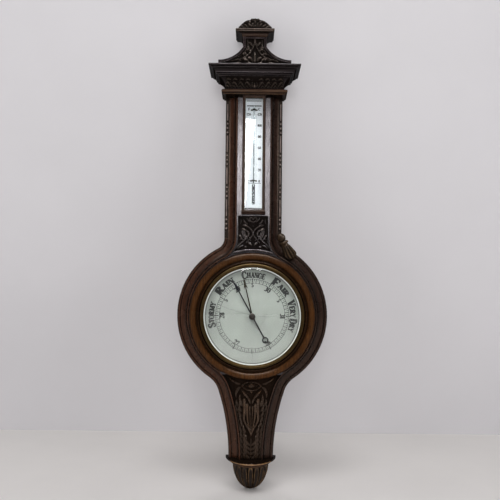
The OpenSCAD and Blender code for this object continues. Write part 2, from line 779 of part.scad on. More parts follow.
// Carved crest on the front of the cap: round shoulders to a domed lobe, with leaf scrolls
module crest() {
    bed = pediment_front + cap_lip - 5.5;
    half = 0.853 * (pediment_neck + cap_reach);
    j = half / 33.6;
    k = crest_h / 21.8;
    rise = [[half, 0], [half, 4.6 * k], [31.4 * j, 6.2 * k], [28.6 * j, 9.2 * k], [24.6 * j, 12.8 * k],
        [20.4 * j, 15.8 * k], [16.4 * j, 17.8 * k], [12.8 * j, 18.6 * k], [10.4 * j, 18.8 * k],
        [8.8 * j, 20 * k], [6.8 * j, 21.3 * k], [4 * j, 21.7 * k], [0, crest_h]];
    fall = [for (i = [len(rise) - 2 : -1 : 0]) [-rise[i].x, rise[i].y]];
    color(dark_oak) place() translate([0, 0, crest_z]) {
        front(bed - 9, bed) polygon(concat(rise, fall));
        leaf([0, 5 * k, 90, 15 * k, 0, 3.2, 4], bed);
        leaf_pairs([
            [1, 5 * k, 64, 14 * k, -8, 2.8, 4], [3, 5 * k, 40, 13 * k, -15, 2.6, 4],
            [7, 4.5 * k, 16, 16 * j, -10, 2.2, 3.6], [10, 2.6 * k, 5, 18 * j, -4, 2, 3.2]
        ], bed);
    }
}

// Half-round moulded shelf at the foot of the tail
module shelf() {
    lip = 3;
    foot = boss_r + 3;
    hollow = shelf_h - lip - 1.6;
    color(brown_oak) place() translate([0, 0, -tail_len - shelf_h]) rotate([0, 0, 180])
        rotate_extrude(angle = 180) {
        square([foot, shelf_h - glue_gap]);
        translate([0, shelf_h - lip]) square([shelf_r, lip - glue_gap]);
        difference() {
            translate([0, 1.6]) square([foot + hollow + 1, hollow + eps]);
            translate([foot + hollow + 1, 1.6]) circle(r = hollow);
        }
    }
}

// Gadrooned half bowl under the shelf
module base_boss() {
    rings = 14;
    per = 6;
    lobes = 9;
    sides = per * lobes;
    deep = 88;
    function swell(j) = 0.93 + 0.07 * pow(abs(sin(180 * j / per)), 0.7);
    function point(i, j) = let (t = deep * i / rings, a = 180 * j / sides, r = boss_r * cos(t) * swell(j))
        [r * cos(a), -r * sin(a), -boss_h * sin(t) / sin(deep)];
    n = sides + 1;
    dots = [for (i = [0 : rings]) for (j = [0 : sides]) point(i, j)];
    skin = [for (i = [0 : rings - 1]) for (j = [0 : sides - 1])
        [i * n + j, (i + 1) * n + j, (i + 1) * n + j + 1, i * n + j + 1]];
    back = [for (i = [0 : rings - 1]) [i * n, i * n + sides, (i + 1) * n + sides, (i + 1) * n]];
    ends = [[for (j = [0 : sides]) j], [for (j = [sides : -1 : 0]) rings * n + j]];
    color(dark_oak) place() translate([0, 0, -tail_len - shelf_h - glue_gap])
        polyhedron(dots, concat(skin, back, ends));
}

// Brass plate let into the back, with the hole that hangs on a hook
module hanger_plate() {
    color(brass) difference() {
        slab(hanger_half_w, -hanger_half_h, hanger_half_h, 0, hanger_t);
        post(0, 0, hanger_r, -1, hanger_t + 1);
        for (s = [-1, 1]) translate([0, 1, s * (hanger_half_h - 6)]) rotate([90, 0, 0])
            cylinder(r1 = 3.2 + 2 * run_fit, r2 = 1.6 + run_fit, h = hanger_t + 1.4);
    }
}
module hanger_screws() {
    color(steel) for (s = [-1, 1]) translate([0, 0, s * (hanger_half_h - 6)]) {
        post(0, 0, 1.6, hanger_t - 0.1, 11);
        translate([0, -0.3, 0]) rotate([90, 0, 0]) cylinder(r1 = 2.6, r2 = 1.6, h = hanger_t - 0.3);
    }
}

// Pressed pan that holds the movement, with a flange on the panel
module movement_pan() {
    color(brass) place() difference() {
        turned() {
            translate([0, pan_back]) square([pan_r, pan_wall]);
            translate([pan_r - pan_wall, pan_back]) square([pan_wall, pan_depth - eps]);
            translate([pan_r - pan_wall, panel_f]) square([dial_r - pan_r + pan_wall, flange_t]);
        }
        post(0, adjust_z, 4.6, pan_back - 1, plate_b + 1);
        for (a = [30, 150, 270]) rotate([0, -a, 0])
            post(plate_r - 5, 0, 1.2 + run_fit, pan_back - 1, plate_b + 1);
        for (a = [30, 150, 270]) rotate([0, -a, 0]) {
            post((pan_r + dial_r) / 2, 0, 1.6 + run_fit, panel_f - 1, dial_b + 1);
            translate([(pan_r + dial_r) / 2, -panel_f, 0]) rotate([90, 0, 0])
                cylinder(r1 = 1.6 + run_fit, r2 = 3 + run_fit, h = flange_t + eps);
        }
    }
}
module pan_screws() {
    color(steel) place() for (a = [30, 150, 270]) rotate([0, -a, 0])
        sunk_screw((pan_r + dial_r) / 2, 0, dial_b - 0.1, 1.6, 2.8, flange_t - 0.1, 9);
}

// White dial plate with a hole for the arbor
module dial_plate() {
    color(dial_white) place() difference() {
        post(0, 0, dial_r, dial_b, dial_f);
        post(0, 0, 3, dial_b - 1, dial_f + 1);
    }
}

// Brass ring that keeps the glass off the dial
module sight_ring() {
    color(brass) place() turned() polygon([[dial_r - sight_w, dial_f], [dial_r, dial_f], [dial_r, glass_b],
        [dial_r - sight_w + 1.4, glass_b]]);
}

// Glass with a broad bevel and a hole for the set spindle
module dial_glass() {
    bevel_w = 9;
    bevel_h = 0.45 * glass_t;
    color(clear) place() turned() polygon([[glass_hole_r, glass_b], [dial_r, glass_b],
        [dial_r, glass_f - bevel_h], [dial_r - bevel_w, glass_f], [glass_hole_r, glass_f]]);
}

// Brass bezel: a wall round the dial and a sloped lip over the glass
module bezel() {
    lip_b = glass_f - 0.45 * glass_t + 0.45 * glass_t * (bezel_lip + drop_fit) / 9 + 0.15;
    color(brass) place() turned() polygon([[bezel_in, panel_f], [bezel_out, panel_f],
        [bezel_out, bezel_f - 1.2], [bezel_out - 1.2, bezel_f], [bezel_in - 1, bezel_f],
        [dial_r - bezel_lip, lip_b + 0.6], [dial_r - bezel_lip, lip_b], [bezel_in, lip_b]]);
}

// Black leaf-pointed hand with a ringed tail
module pressure_hand() {
    barb = 59;
    tail_c = -55;
    tail_r = 6.4;
    blade = 1.3;
    color(black_steel) place() rotate([0, pressure_deg, 0]) {
        difference() {
            union() {
                front(hand_b, hand_b + hand_t) {
                    polygon([[-blade, 0], [-1, barb], [-4.4, barb - 5], [-2.2, barb + 3], [-2.4, barb + 8],
                        [0, pressure_len], [2.4, barb + 8], [2.2, barb + 3], [4.4, barb - 5], [1, barb],
                        [blade, 0]]);
                    translate([-blade, tail_c + tail_r - 1.2]) square([2 * blade, -tail_c - tail_r + 1.2]);
                    translate([0, tail_c]) difference() {
                        circle(r = tail_r);
                        circle(r = tail_r - 2.2);
                    }
                }
                post(0, 0, 4.6, hand_b - 0.6, hub_f);
            }
            post(0, 0, 0.8 + run_fit / 5, hand_b - 1, hub_f - 0.4);
        }
    }
}

// Brass hand under the glass, set by the knob to mark an earlier reading
module set_hand() {
    barb = 60;
    color(brass) place() rotate([0, set_deg, 0]) difference() {
        union() {
            front(set_b, set_b + set_t) {
                polygon([[-1.3, 0], [-0.9, barb], [-3.8, barb - 5], [-2.2, barb + 4], [0, set_len],
                    [2.2, barb + 4], [3.8, barb - 5], [0.9, barb], [1.3, 0]]);
                polygon([[-1.3, 0], [-1.6, -6], [1.6, -6], [1.3, 0]]);
            }
            post(0, 0, 4, set_b, glass_b - 0.4);
        }
        post(0, 0, 1.5 + run_fit / 5, set_b - 1, glass_b);
    }
}

// Spindle through the glass that joins the knob and the set hand
module set_spindle() {
    color(brass) place() {
        post(0, 0, 1.5, set_b, glass_b - 0.4 + eps);
        post(0, 0, glass_hole_r - run_fit, glass_b - 0.4, glass_f + 0.2);
        post(0, 0, 1.5, glass_f + 0.2 - eps, glass_f + 6);
    }
}
module set_knob() {
    bore = 1.5 + run_fit / 5;
    neck = knob_r - 1.6;
    color(black_steel) place() turned() translate([0, glass_f]) polygon([[bore, 0.2], [neck, 0.2],
        [neck, 2.2], [knob_r, 3.4], [knob_r, 7], [knob_r - 1.4, 8.6], [0, 9.2], [0, 6], [bore, 6]]);
}

// Plate that carries the movement inside the pan
module base_plate() {
    color(brass) place() difference() {
        post(0, 0, plate_r, plate_b, plate_f);
        post(0, adjust_z, adjust_r + run_fit, plate_b - 1, plate_f + 1);
        for (a = [30, 150, 270]) rotate([0, -a, 0])
            post(plate_r - 5, 0, 1.2 + run_fit, plate_b - 1, plate_f + 1);
    }
}
module plate_screws() {
    color(steel) place() for (a = [30, 150, 270]) rotate([0, -a, 0]) {
        post(plate_r - 5, 0, 1.2, pan_back, plate_f + eps);
        post(plate_r - 5, 0, 2.2, plate_f, plate_f + 1.3);
    }
}

// Corrugated vacuum capsule on its stud
module capsule() {
    rib = 0.9;
    mid = (capsule_b + capsule_f) / 2;
    steps = 3;
    pitch = (capsule_r - 9) / steps;
    upper = [for (k = [0 : steps - 1]) each [[7 + k * pitch, capsule_f - rib],
        [6 + (k + 0.5) * pitch, capsule_f], [6 + (k + 1) * pitch, capsule_f - rib]]];
    lower = [for (p = upper) [p.x, 2 * mid - p.y]];
    rim = [[capsule_r - 2, capsule_b + rib], [capsule_r, mid], [capsule_r - 2, capsule_f - rib]];
    stud = [[0, plate_f], [4, plate_f], [4, capsule_b], [6, capsule_b]];
    color(steel) place() turned() polygon(concat(stud, lower, rim,
        [for (i = [len(upper) - 1 : -1 : 0]) upper[i]], [[6, capsule_f], [0, capsule_f]]));
}

// Post on the capsule that hangs from the main spring by a cross pin
module capsule_post() {
    pin_w = spring_f + 0.9;
    color(brass) place() {
        post(0, 0, 4, capsule_f, capsule_f + 0.8);
        post(0, 0, 2.4, capsule_f + 0.7, spring_f + 1.7);
        translate([-5, -pin_w, 0]) rotate([0, 90, 0]) cylinder(r = 0.7, h = 10);
    }
}

// Foot under the main spring
module spring_foot() {
    color(brass) place() difference() {
        slab(13, flex_z - 0.5, flex_z + 5, plate_f, plate_f + spring_foot_h);
        for (s = [-1, 1]) post(s * 8, flex_z + 2.4, 1 + run_fit, plate_f - 1, plate_f + spring_foot_h + 1);
    }
}

// C-shaped leaf that pulls the capsule open: a clamped lip, a half ring and a long tongue
module main_spring() {
    half = 10;
    hook = flex_r - spring_t;
    color(steel) place() difference() {
        translate([-half, 0, 0]) rotate([90, 0, 90]) linear_extrude(height = 2 * half) {
            difference() {
                translate([-flex_w, flex_z]) circle(r = flex_r);
                translate([-flex_w, flex_z]) circle(r = hook);
                translate([-flex_w - 2 * flex_r, flex_z]) square([4 * flex_r, 2 * flex_r]);
            }
            translate([-spring_f, flex_z]) square([spring_t, 14 - flex_z]);
            translate([-flex_w + hook, flex_z]) square([spring_t, 5]);
        }
        post(0, 0, 2.4 + 0.6, spring_b - 1, spring_f + 1);
        for (s = [-1, 1]) {
            post(s * 8, flex_z + 2.4, 1 + run_fit, plate_f, flex_w);
            post(s * 4, 10, 0.8 + run_fit, spring_b - 1, spring_f + 1);
        }
    }
}

// Bar and screws that clamp the spring to its foot
module spring_clamp() {
    b = plate_f + spring_foot_h + spring_t;
    color(brass) place() difference() {
        slab(12, flex_z + 0.4, flex_z + 4.6, b, b + 1.2);
        for (s = [-1, 1]) post(s * 8, flex_z + 2.4, 1 + run_fit, b - 1, b + 2);
    }
}
module clamp_screws() {
    f = plate_f + spring_foot_h + spring_t + 1.2;
    color(steel) place() for (s = [-1, 1]) {
        post(s * 8, flex_z + 2.4, 1, plate_f, f + eps);
        post(s * 8, flex_z + 2.4, 1.8, f, f + 1);
    }
}

// Long lever screwed to the spring's free end
module main_lever() {
    color(brass) place() difference() {
        union() {
            slab(6.5, 6.5, 13.5, spring_f, lever_f);
            slab(1.8, 13, short_z + 1.6, spring_f, lever_f);
        }
        for (s = [-1, 1]) post(s * 4, 10, 0.8 + run_fit, spring_f - 1, lever_f + 1);
    }
}
module lever_screws() {
    color(steel) place() for (s = [-1, 1]) {
        post(s * 4, 10, 0.8, spring_b + 0.2, lever_f + eps);
        post(s * 4, 10, 1.5, lever_f, lever_f + 0.8);
    }
}

// Rod from the lever's end that works the rocking shaft's short arm
module lever_link() {
    color(steel) place() post(0, short_z, 0.7, rocker_w + 1.3, spring_f);
}

// Bracket with two eared bearings for the rocking shaft
module rocker_bracket() {
    color(brass) place() difference() {
        union() {
            slab(ear_x + ear_t, rocker_z - 4, rocker_z + 4, plate_f, plate_f + 1.4);
            for (x = [-ear_x - ear_t, ear_x]) translate([x, -rocker_w - 2, rocker_z - 2.5])
                cube([ear_t, rocker_w + 2 - plate_f, 5]);
        }
        translate([-big / 2, -rocker_w, rocker_z]) rotate([0, 90, 0])
            cylinder(r = shaft_r + run_fit, h = big);
    }
}

// Rocking shaft: a short arm under the lever's link and a tall arm that lets out the chain
module rocking_shaft() {
    half = ear_x + ear_t;
    color(steel) place() {
        translate([-half, -rocker_w, rocker_z]) rotate([0, 90, 0]) cylinder(r = shaft_r, h = 2 * half);
        translate([-ear_x + 0.3, -rocker_w, rocker_z]) rotate([0, 90, 0])
            cylinder(r = 1.5, h = 2 * ear_x - 0.6);
        slab(1.2, short_z - 1, rocker_z, rocker_w - 0.6, rocker_w + 0.6);
        translate([chain_x - 0.7, -chain_w - 0.8, rocker_z - 0.7])
            cube([1.4, chain_w + 0.8 - rocker_w, 1.4]);
    }
}

// Fine chain of flat links from the tall arm to the drum
module chain() {
    low = 0.4;
    high = rocker_z - 0.9;
    links = 20;
    step = (high - low) / links;
    color(steel) place() for (k = [0 : links - 1]) {
        t = k % 2 == 0 ? chain_t : chain_t / 2;
        translate([chain_x - t / 2, -chain_w - 0.45, low + k * step])
            cube([t, 0.9, step + (k < links - 1 ? 0.1 : 0)]);
    }
}

// Arbor with its drum and collet, from the cock up to the pressure hand
module arbor() {
    color(steel) place() {
        post(0, 0, 0.8, cock_b + 0.1, hub_f - 0.4);
        post(0, 0, drum_r, drum_b, drum_b + drum_h);
        post(0, 0, collet_r, hair_b - 0.2, hair_b + hair_h + 0.2);
        post(0, 0, 1.7, hand_b - 1.1, hand_b - 0.6);
    }
}

// Bar across the movement that carries the arbor and the hairspring's stud
module arbor_cock() {
    color(brass) place() difference() {
        union() {
            slab(pillar_x + 4, -4, 4, cock_b, cock_f);
            post(-hair_out - 0.9, 0, 0.9, cock_b, hair_b + hair_h + 0.4);
        }
        post(0, 0, 0.8 + run_fit, cock_b - 1, cock_f + 1);
        for (s = [-1, 1]) post(s * pillar_x, 0, 1.2 + run_fit, cock_b - 1, cock_f + 1);
    }
}
module cock_pillars() {
    color(brass) place() for (s = [-1, 1]) {
        post(s * pillar_x, 0, pillar_r, plate_f, cock_b);
        post(s * pillar_x, 0, 1.2, cock_b - eps, cock_f + eps);
        post(s * pillar_x, 0, 2.2, cock_f, cock_f + 1);
    }
}

// Flat spiral that keeps the chain taut
module hairspring() {
    steps = 24 * hair_turns;
    start = collet_r + 0.02;
    function coil(k, out) =
        let (turn = hair_turns * k / steps, a = 180 + 360 * turn, r = start + out + hair_pitch * turn)
        [r * cos(a), r * sin(a)];
    color(steel) place() front(hair_b, hair_b + hair_h)
        polygon(concat([for (k = [0 : steps]) coil(k, 0)], [for (k = [steps : -1 : 0]) coil(k, hair_t)]));
}

// Slotted screw at the back that sets the reading
module adjusting_screw() {
    color(brass) place() difference() {
        union() {
            post(0, adjust_z, adjust_r, pan_back - 0.2, plate_f + 2);
            post(0, adjust_z, 4, pan_back - 0.8, plate_b - 0.1);
        }
        translate([-5, -pan_back + 0.1, adjust_z - 0.5]) cube([10, 2, 1]);
    }
}

// Moulded box frame round the thermometer
module thermometer_box() {
    top = box_z + box_len;
    rail = 5;
    color(brown_oak) place() difference() {
        slab(box_half_w, box_z, top, panel_f, box_f);
        slab(pane_half_w, box_z - 1, top - rail, panel_f - 1, box_f + 1);
        slab(pane_half_w + rebate, box_z - 1, top - rail + rebate, panel_f - 1, box_glass_f);
        for (s = [-1, 1]) translate([s * (box_half_w + 1.4), -box_f - 1.2, box_z - 1])
            cylinder(r = 3.4, h = box_len + 2);
    }
}
module thermometer_sill() {
    reach = 3;
    color(brown_oak) place() difference() {
        slab(box_half_w + 0.6, box_z - sill_h, box_z - glue_gap, panel_f, box_f + reach);
        translate([-big / 2, -box_f - reach - 0.6, box_z - sill_h]) rotate([0, 90, 0])
            cylinder(r = 3.4, h = big);
    }
}

// Pane, printed plate, tube and column of the thermometer
module thermometer_glass() {
    half = pane_half_w + rebate - glue_gap;
    top = box_z + box_len - 5 + rebate - glue_gap;
    color(clear) place() slab(half, box_z, top, box_glass_f - box_glass_t, box_glass_f);
}
module thermometer_plate() {
    half = pane_half_w + rebate - glue_gap;
    top = box_z + box_len - 3 - glue_gap;
    color(dial_white) place() slab(half, box_z + 6 + glue_gap, top, scale_b, scale_b + scale_t);
}
module thermometer_tube() {
    bore = 0.7;
    skin = 0.6;
    shoulder = bulb_z + bulb_len;
    outside = [[0, bulb_z], [bulb_r - 1.4, bulb_z], [bulb_r, bulb_z + 1.4], [bulb_r, shoulder - 1.4],
        [tube_r, shoulder], [tube_r, tube_top - 1], [tube_r - 1, tube_top], [0, tube_top]];
    inside = [[0, tube_top - 4], [bore, tube_top - 4], [bore, shoulder], [bulb_r - skin, shoulder - 2.4],
        [bulb_r - skin, bulb_z + 1.6], [0, bulb_z + 1.2]];
    color(clear) place() translate([0, -tube_w, 0]) rotate_extrude() polygon(concat(outside, inside));
}
module thermometer_column() {
    skin = 0.6 + run_fit;
    shoulder = bulb_z + bulb_len;
    color(steel) place() translate([0, -tube_w, 0]) rotate_extrude() polygon([[0, bulb_z + 1.3],
        [bulb_r - skin, bulb_z + 1.7], [bulb_r - skin, shoulder - 2.5], [0.65, shoulder - 0.1],
        [0.65, column_top], [0, column_top]]);
}
module tube_clips() {
    seat = scale_b + scale_t;
    wide = 3;
    color(brass) place() for (z = [bulb_z + bulb_len + 6, tube_top - 9]) difference() {
        union() {
            translate([0, -tube_w, z]) cylinder(r = tube_r + 0.9, h = wide);
            slab(tube_r + 0.9, z, z + wide, seat, tube_w);
            slab(tube_r + 4.5, z, z + wide, seat, seat + 0.8);
        }
        translate([0, -tube_w, z - 1]) cylinder(r = tube_r + run_fit, h = wide + 2);
        slab(tube_r + run_fit, z - 1, z + wide + 1, seat - 1, tube_w);
    }
}

back_board();
raised_panel();
left_frame_moulding();
right_frame_moulding();
left_bead_strip();
right_bead_strip();
upper_carving();
lower_carving();
shoulder_carving();
dial_ring();
necking_moulding();
frieze();
cornice();
pediment_panel();
pediment_carving();
pediment_cap();
crest();
shelf();
base_boss();
hanger_plate();
hanger_screws();
movement_pan();
pan_screws();
dial_plate();
sight_ring();
dial_glass();
bezel();
pressure_hand();
set_hand();
set_spindle();
set_knob();
base_plate();
plate_screws();
capsule();
capsule_post();
spring_foot();
main_spring();
spring_clamp();
clamp_screws();
main_lever();
lever_screws();
lever_link();
rocker_bracket();
rocking_shaft();
chain();
arbor();
arbor_cock();
cock_pillars();
hairspring();
adjusting_screw();
thermometer_box();
thermometer_sill();
thermometer_glass();
thermometer_plate();
thermometer_tube();
thermometer_column();
tube_clips();
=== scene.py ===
"""Looks of the carved banjo barometer: woods, brass, glass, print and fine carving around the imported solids.

Lengths in the design tables are millimetres from the dial's centre: x to the right, z up, and w for the depth
towards the front.
"""

import math

import bpy
import numpy as np
from mathutils import Matrix, Vector
from mathutils.bvhtree import BVHTree


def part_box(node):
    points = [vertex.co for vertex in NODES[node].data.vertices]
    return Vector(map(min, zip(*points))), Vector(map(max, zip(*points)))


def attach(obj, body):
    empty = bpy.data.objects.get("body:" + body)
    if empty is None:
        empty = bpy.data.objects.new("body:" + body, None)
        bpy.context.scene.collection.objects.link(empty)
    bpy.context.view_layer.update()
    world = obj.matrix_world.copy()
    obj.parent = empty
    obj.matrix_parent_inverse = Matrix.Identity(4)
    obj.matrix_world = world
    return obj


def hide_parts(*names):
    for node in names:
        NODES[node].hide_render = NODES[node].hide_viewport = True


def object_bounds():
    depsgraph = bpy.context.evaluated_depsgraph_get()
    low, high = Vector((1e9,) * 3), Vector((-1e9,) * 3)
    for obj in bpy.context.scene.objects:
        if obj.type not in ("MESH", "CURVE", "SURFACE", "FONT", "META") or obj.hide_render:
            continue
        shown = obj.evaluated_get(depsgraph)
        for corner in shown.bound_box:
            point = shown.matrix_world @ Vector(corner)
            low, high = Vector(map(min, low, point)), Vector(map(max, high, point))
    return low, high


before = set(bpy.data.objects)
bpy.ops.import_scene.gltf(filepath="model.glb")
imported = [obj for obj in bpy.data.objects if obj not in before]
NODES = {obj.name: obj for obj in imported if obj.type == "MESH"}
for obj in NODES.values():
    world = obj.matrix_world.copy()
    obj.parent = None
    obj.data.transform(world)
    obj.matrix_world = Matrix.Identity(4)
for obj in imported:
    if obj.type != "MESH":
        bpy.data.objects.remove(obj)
CAD_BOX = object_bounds()

MM = 0.001
DIAL_LOW, DIAL_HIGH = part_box("dial_plate")
DIAL_Z = (DIAL_LOW.z + DIAL_HIGH.z) / 2
DIAL_FACE = -DIAL_LOW.y / MM
PLATE_LOW, PLATE_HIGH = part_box("thermometer_plate")
PLATE_FACE = -PLATE_LOW.y / MM
FLOOR_Z = CAD_BOX[0].z


# Small helpers


def place(x, w, z):
    """A point of the design tables in the row frame, in metres."""
    return (x * MM, -w * MM, z * MM + DIAL_Z)


def design_z(metres):
    """A height of the row frame as millimetres from the dial's centre."""
    return (metres - DIAL_Z) / MM


def linear(*screen):
    """A colour given as three screen values from 0 to 255, as linear light by the usual screen curve."""
    light = [((c / 255 + 0.055) / 1.055) ** 2.4 if c > 10 else c / 255 / 12.92 for c in screen]
    return (*light, 1.0)


def sine_cosine(deg):
    return math.sin(math.radians(deg)), math.cos(math.radians(deg))


def add_object(name, data):
    """A new object in the scene."""
    obj = bpy.data.objects.new(name, data)
    bpy.context.scene.collection.objects.link(obj)
    return obj


def piece(name, verts, faces, material, slot, body="case", stands_for=(), smooth=True, carve=None):
    """A mesh piece that rides on a body. Carve values, one per point, tell raised parts from the ground."""
    mesh = bpy.data.meshes.new(name)
    mesh.from_pydata(verts, [], faces)
    if carve is not None:
        mesh.attributes.new("carve", "FLOAT", "POINT").data.foreach_set("value", carve)
    mesh.validate()
    if smooth:
        mesh.shade_smooth()
    mesh.materials.append(material)
    obj = add_object(name, mesh)
    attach(obj, body)
    if stands_for:
        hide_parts(*stands_for)
    return obj


# Materials


class Tree:
    """A material's nodes, added by short calls."""

    def __init__(self, name):
        self.material = bpy.data.materials.new(name)
        self.material.use_nodes = True
        self.nodes = self.material.node_tree.nodes
        self.links = self.material.node_tree.links
        self.nodes.clear()

    def add(self, kind, inputs=None, **settings):
        node = self.nodes.new("ShaderNode" + kind)
        for key, value in settings.items():
            setattr(node, key, value)
        for key, value in (inputs or {}).items():
            if isinstance(value, bpy.types.NodeSocket):
                self.links.new(value, node.inputs[key])
            else:
                node.inputs[key].default_value = value
        return node

    def coords(self, scale):
        """Object coordinates times a scale per axis, in features per metre."""
        texture = self.add("TexCoord")
        mapping = self.add("Mapping", {"Vector": texture.outputs["Object"], "Scale": scale})
        return mapping.outputs["Vector"]

    def noise(self, scale, detail=3.0, rough=0.55, vector=None, distortion=0.0):
        vector = vector or self.coords((1, 1, 1))
        values = {"Vector": vector, "Scale": scale, "Detail": detail, "Roughness": rough}
        return self.add("TexNoise", {**values, "Distortion": distortion}).outputs["Fac"]

    def ramp(self, fac, stops):
        node = self.add("ValToRGB", {"Fac": fac})
        points = node.color_ramp.elements
        while len(points) < len(stops):
            points.new(0.5)
        for point, (at, colour) in zip(points, stops):
            point.position = at
            point.color = colour if isinstance(colour, tuple) else (colour, colour, colour, 1)
        return node.outputs["Color"]

    def level(self, value, low, high, out_low=0.0, out_high=1.0):
        values = {"Value": value, "From Min": low, "From Max": high, "To Min": out_low, "To Max": out_high}
        return self.add("MapRange", values).outputs["Result"]

    def math(self, operation, a, b):
        return self.add("Math", {0: a, 1: b}, operation=operation).outputs[0]

    def times(self, a, b):
        return self.math("MULTIPLY", a, b)

    def mix(self, fac, a, b, blend="MIX"):
        """Two colours mixed. The node's colour sockets are its inputs 6 and 7 and its output 2."""
        first, second, result = 6, 7, 2
        node = self.add("Mix", {0: fac, first: a, second: b}, data_type="RGBA", blend_type=blend)
        return node.outputs[result]

    def occlusion(self, distance, inside=False):
        return self.add("AmbientOcclusion", {"Distance": distance}, inside=inside, samples=6).outputs["AO"]

    def radius(self):
        """Distance from the dial's axis, in metres."""
        spot = self.add("SeparateXYZ", {0: self.add("TexCoord").outputs["Object"]})
        up = self.math("SUBTRACT", spot.outputs["Z"], DIAL_Z)
        squares = [self.math("POWER", length, 2.0) for length in (spot.outputs["X"], up)]
        return self.math("SQRT", self.math("ADD", *squares), 0.0)

    def bevel(self, radius):
        return self.add("Bevel", {"Radius": radius}, samples=4).outputs["Normal"]

    def bump(self, height, strength, distance, normal=None):
        values = {"Height": height, "Strength": strength, "Distance": distance}
        if normal:
            values["Normal"] = normal
        return self.add("Bump", values).outputs["Normal"]

    def surface(self, shader):
        out = self.add("OutputMaterial")
        self.links.new(shader, out.inputs["Surface"])
        return self.material

    def principled(self, inputs):
        return self.surface(self.add("BsdfPrincipled", inputs).outputs["BSDF"])


# Features per metre along each axis, for the streaks of the grain and for its pores.
GRAIN = {"X": (14, 330, 330), "Z": (330, 330, 14)}
PORES = {"X": (60, 1500, 1500), "Z": (1500, 1500, 60)}
# Metres: how far painted shade reaches from a corner and the worn, painted-highlight lightening from an edge,
# an edge's rounding and the grain's depth.
HOLLOW_SHADE_REACH, WORN_AND_HIGHLIGHT_REACH, EDGE_ROUND, GRAIN_DEPTH = 0.008, 0.0013, 0.0008, 0.00012
# Near black: the pores' own dark, and the painted shade in hollows, on relief grounds and on the sides.
PORE_SHADE_BLACK = (0.004, 0.003, 0.0025, 1)
WARM, ROSY = (1.0, 0.8, 0.66, 1), (1.0, 0.93, 0.97, 1)
RAW = ((74, 52, 34), (106, 78, 52), (132, 100, 68))
RAW_STAIN = (66, 50, 38)


def wood_grain(t, tones, grain):
    """The streaks, pores and cloudy patches of a stained wood, and the colour that they give it."""
    dark, mid, light = (linear(*tone) for tone in tones)
    streak = t.noise(1.0, 5.0, 0.62, t.coords(GRAIN[grain]), 0.6)
    pores = t.level(t.noise(1.0, 2.0, 0.5, t.coords(PORES[grain])), 0.56, 0.7)
    cloud = t.noise(16.0, 3.0, 0.5)
    colour = t.ramp(streak, [(0.22, dark), (0.5, mid), (0.84, light)])
    colour = t.mix(t.level(cloud, 0.35, 0.7, 0.0, 0.45), colour, dark)
    colour = t.mix(t.times(pores, 0.6), colour, PORE_SHADE_BLACK)
    return streak, pores, cloud, colour


def raw_wood(t, streak, cloud):
    """Wood without stain or polish, with the same streaks."""
    colour = t.ramp(streak, [(at, linear(*tone)) for at, tone in zip((0.25, 0.5, 0.8), RAW)])
    return t.mix(t.level(cloud, 0.4, 0.7, 0.0, 0.7), colour, linear(*RAW_STAIN))


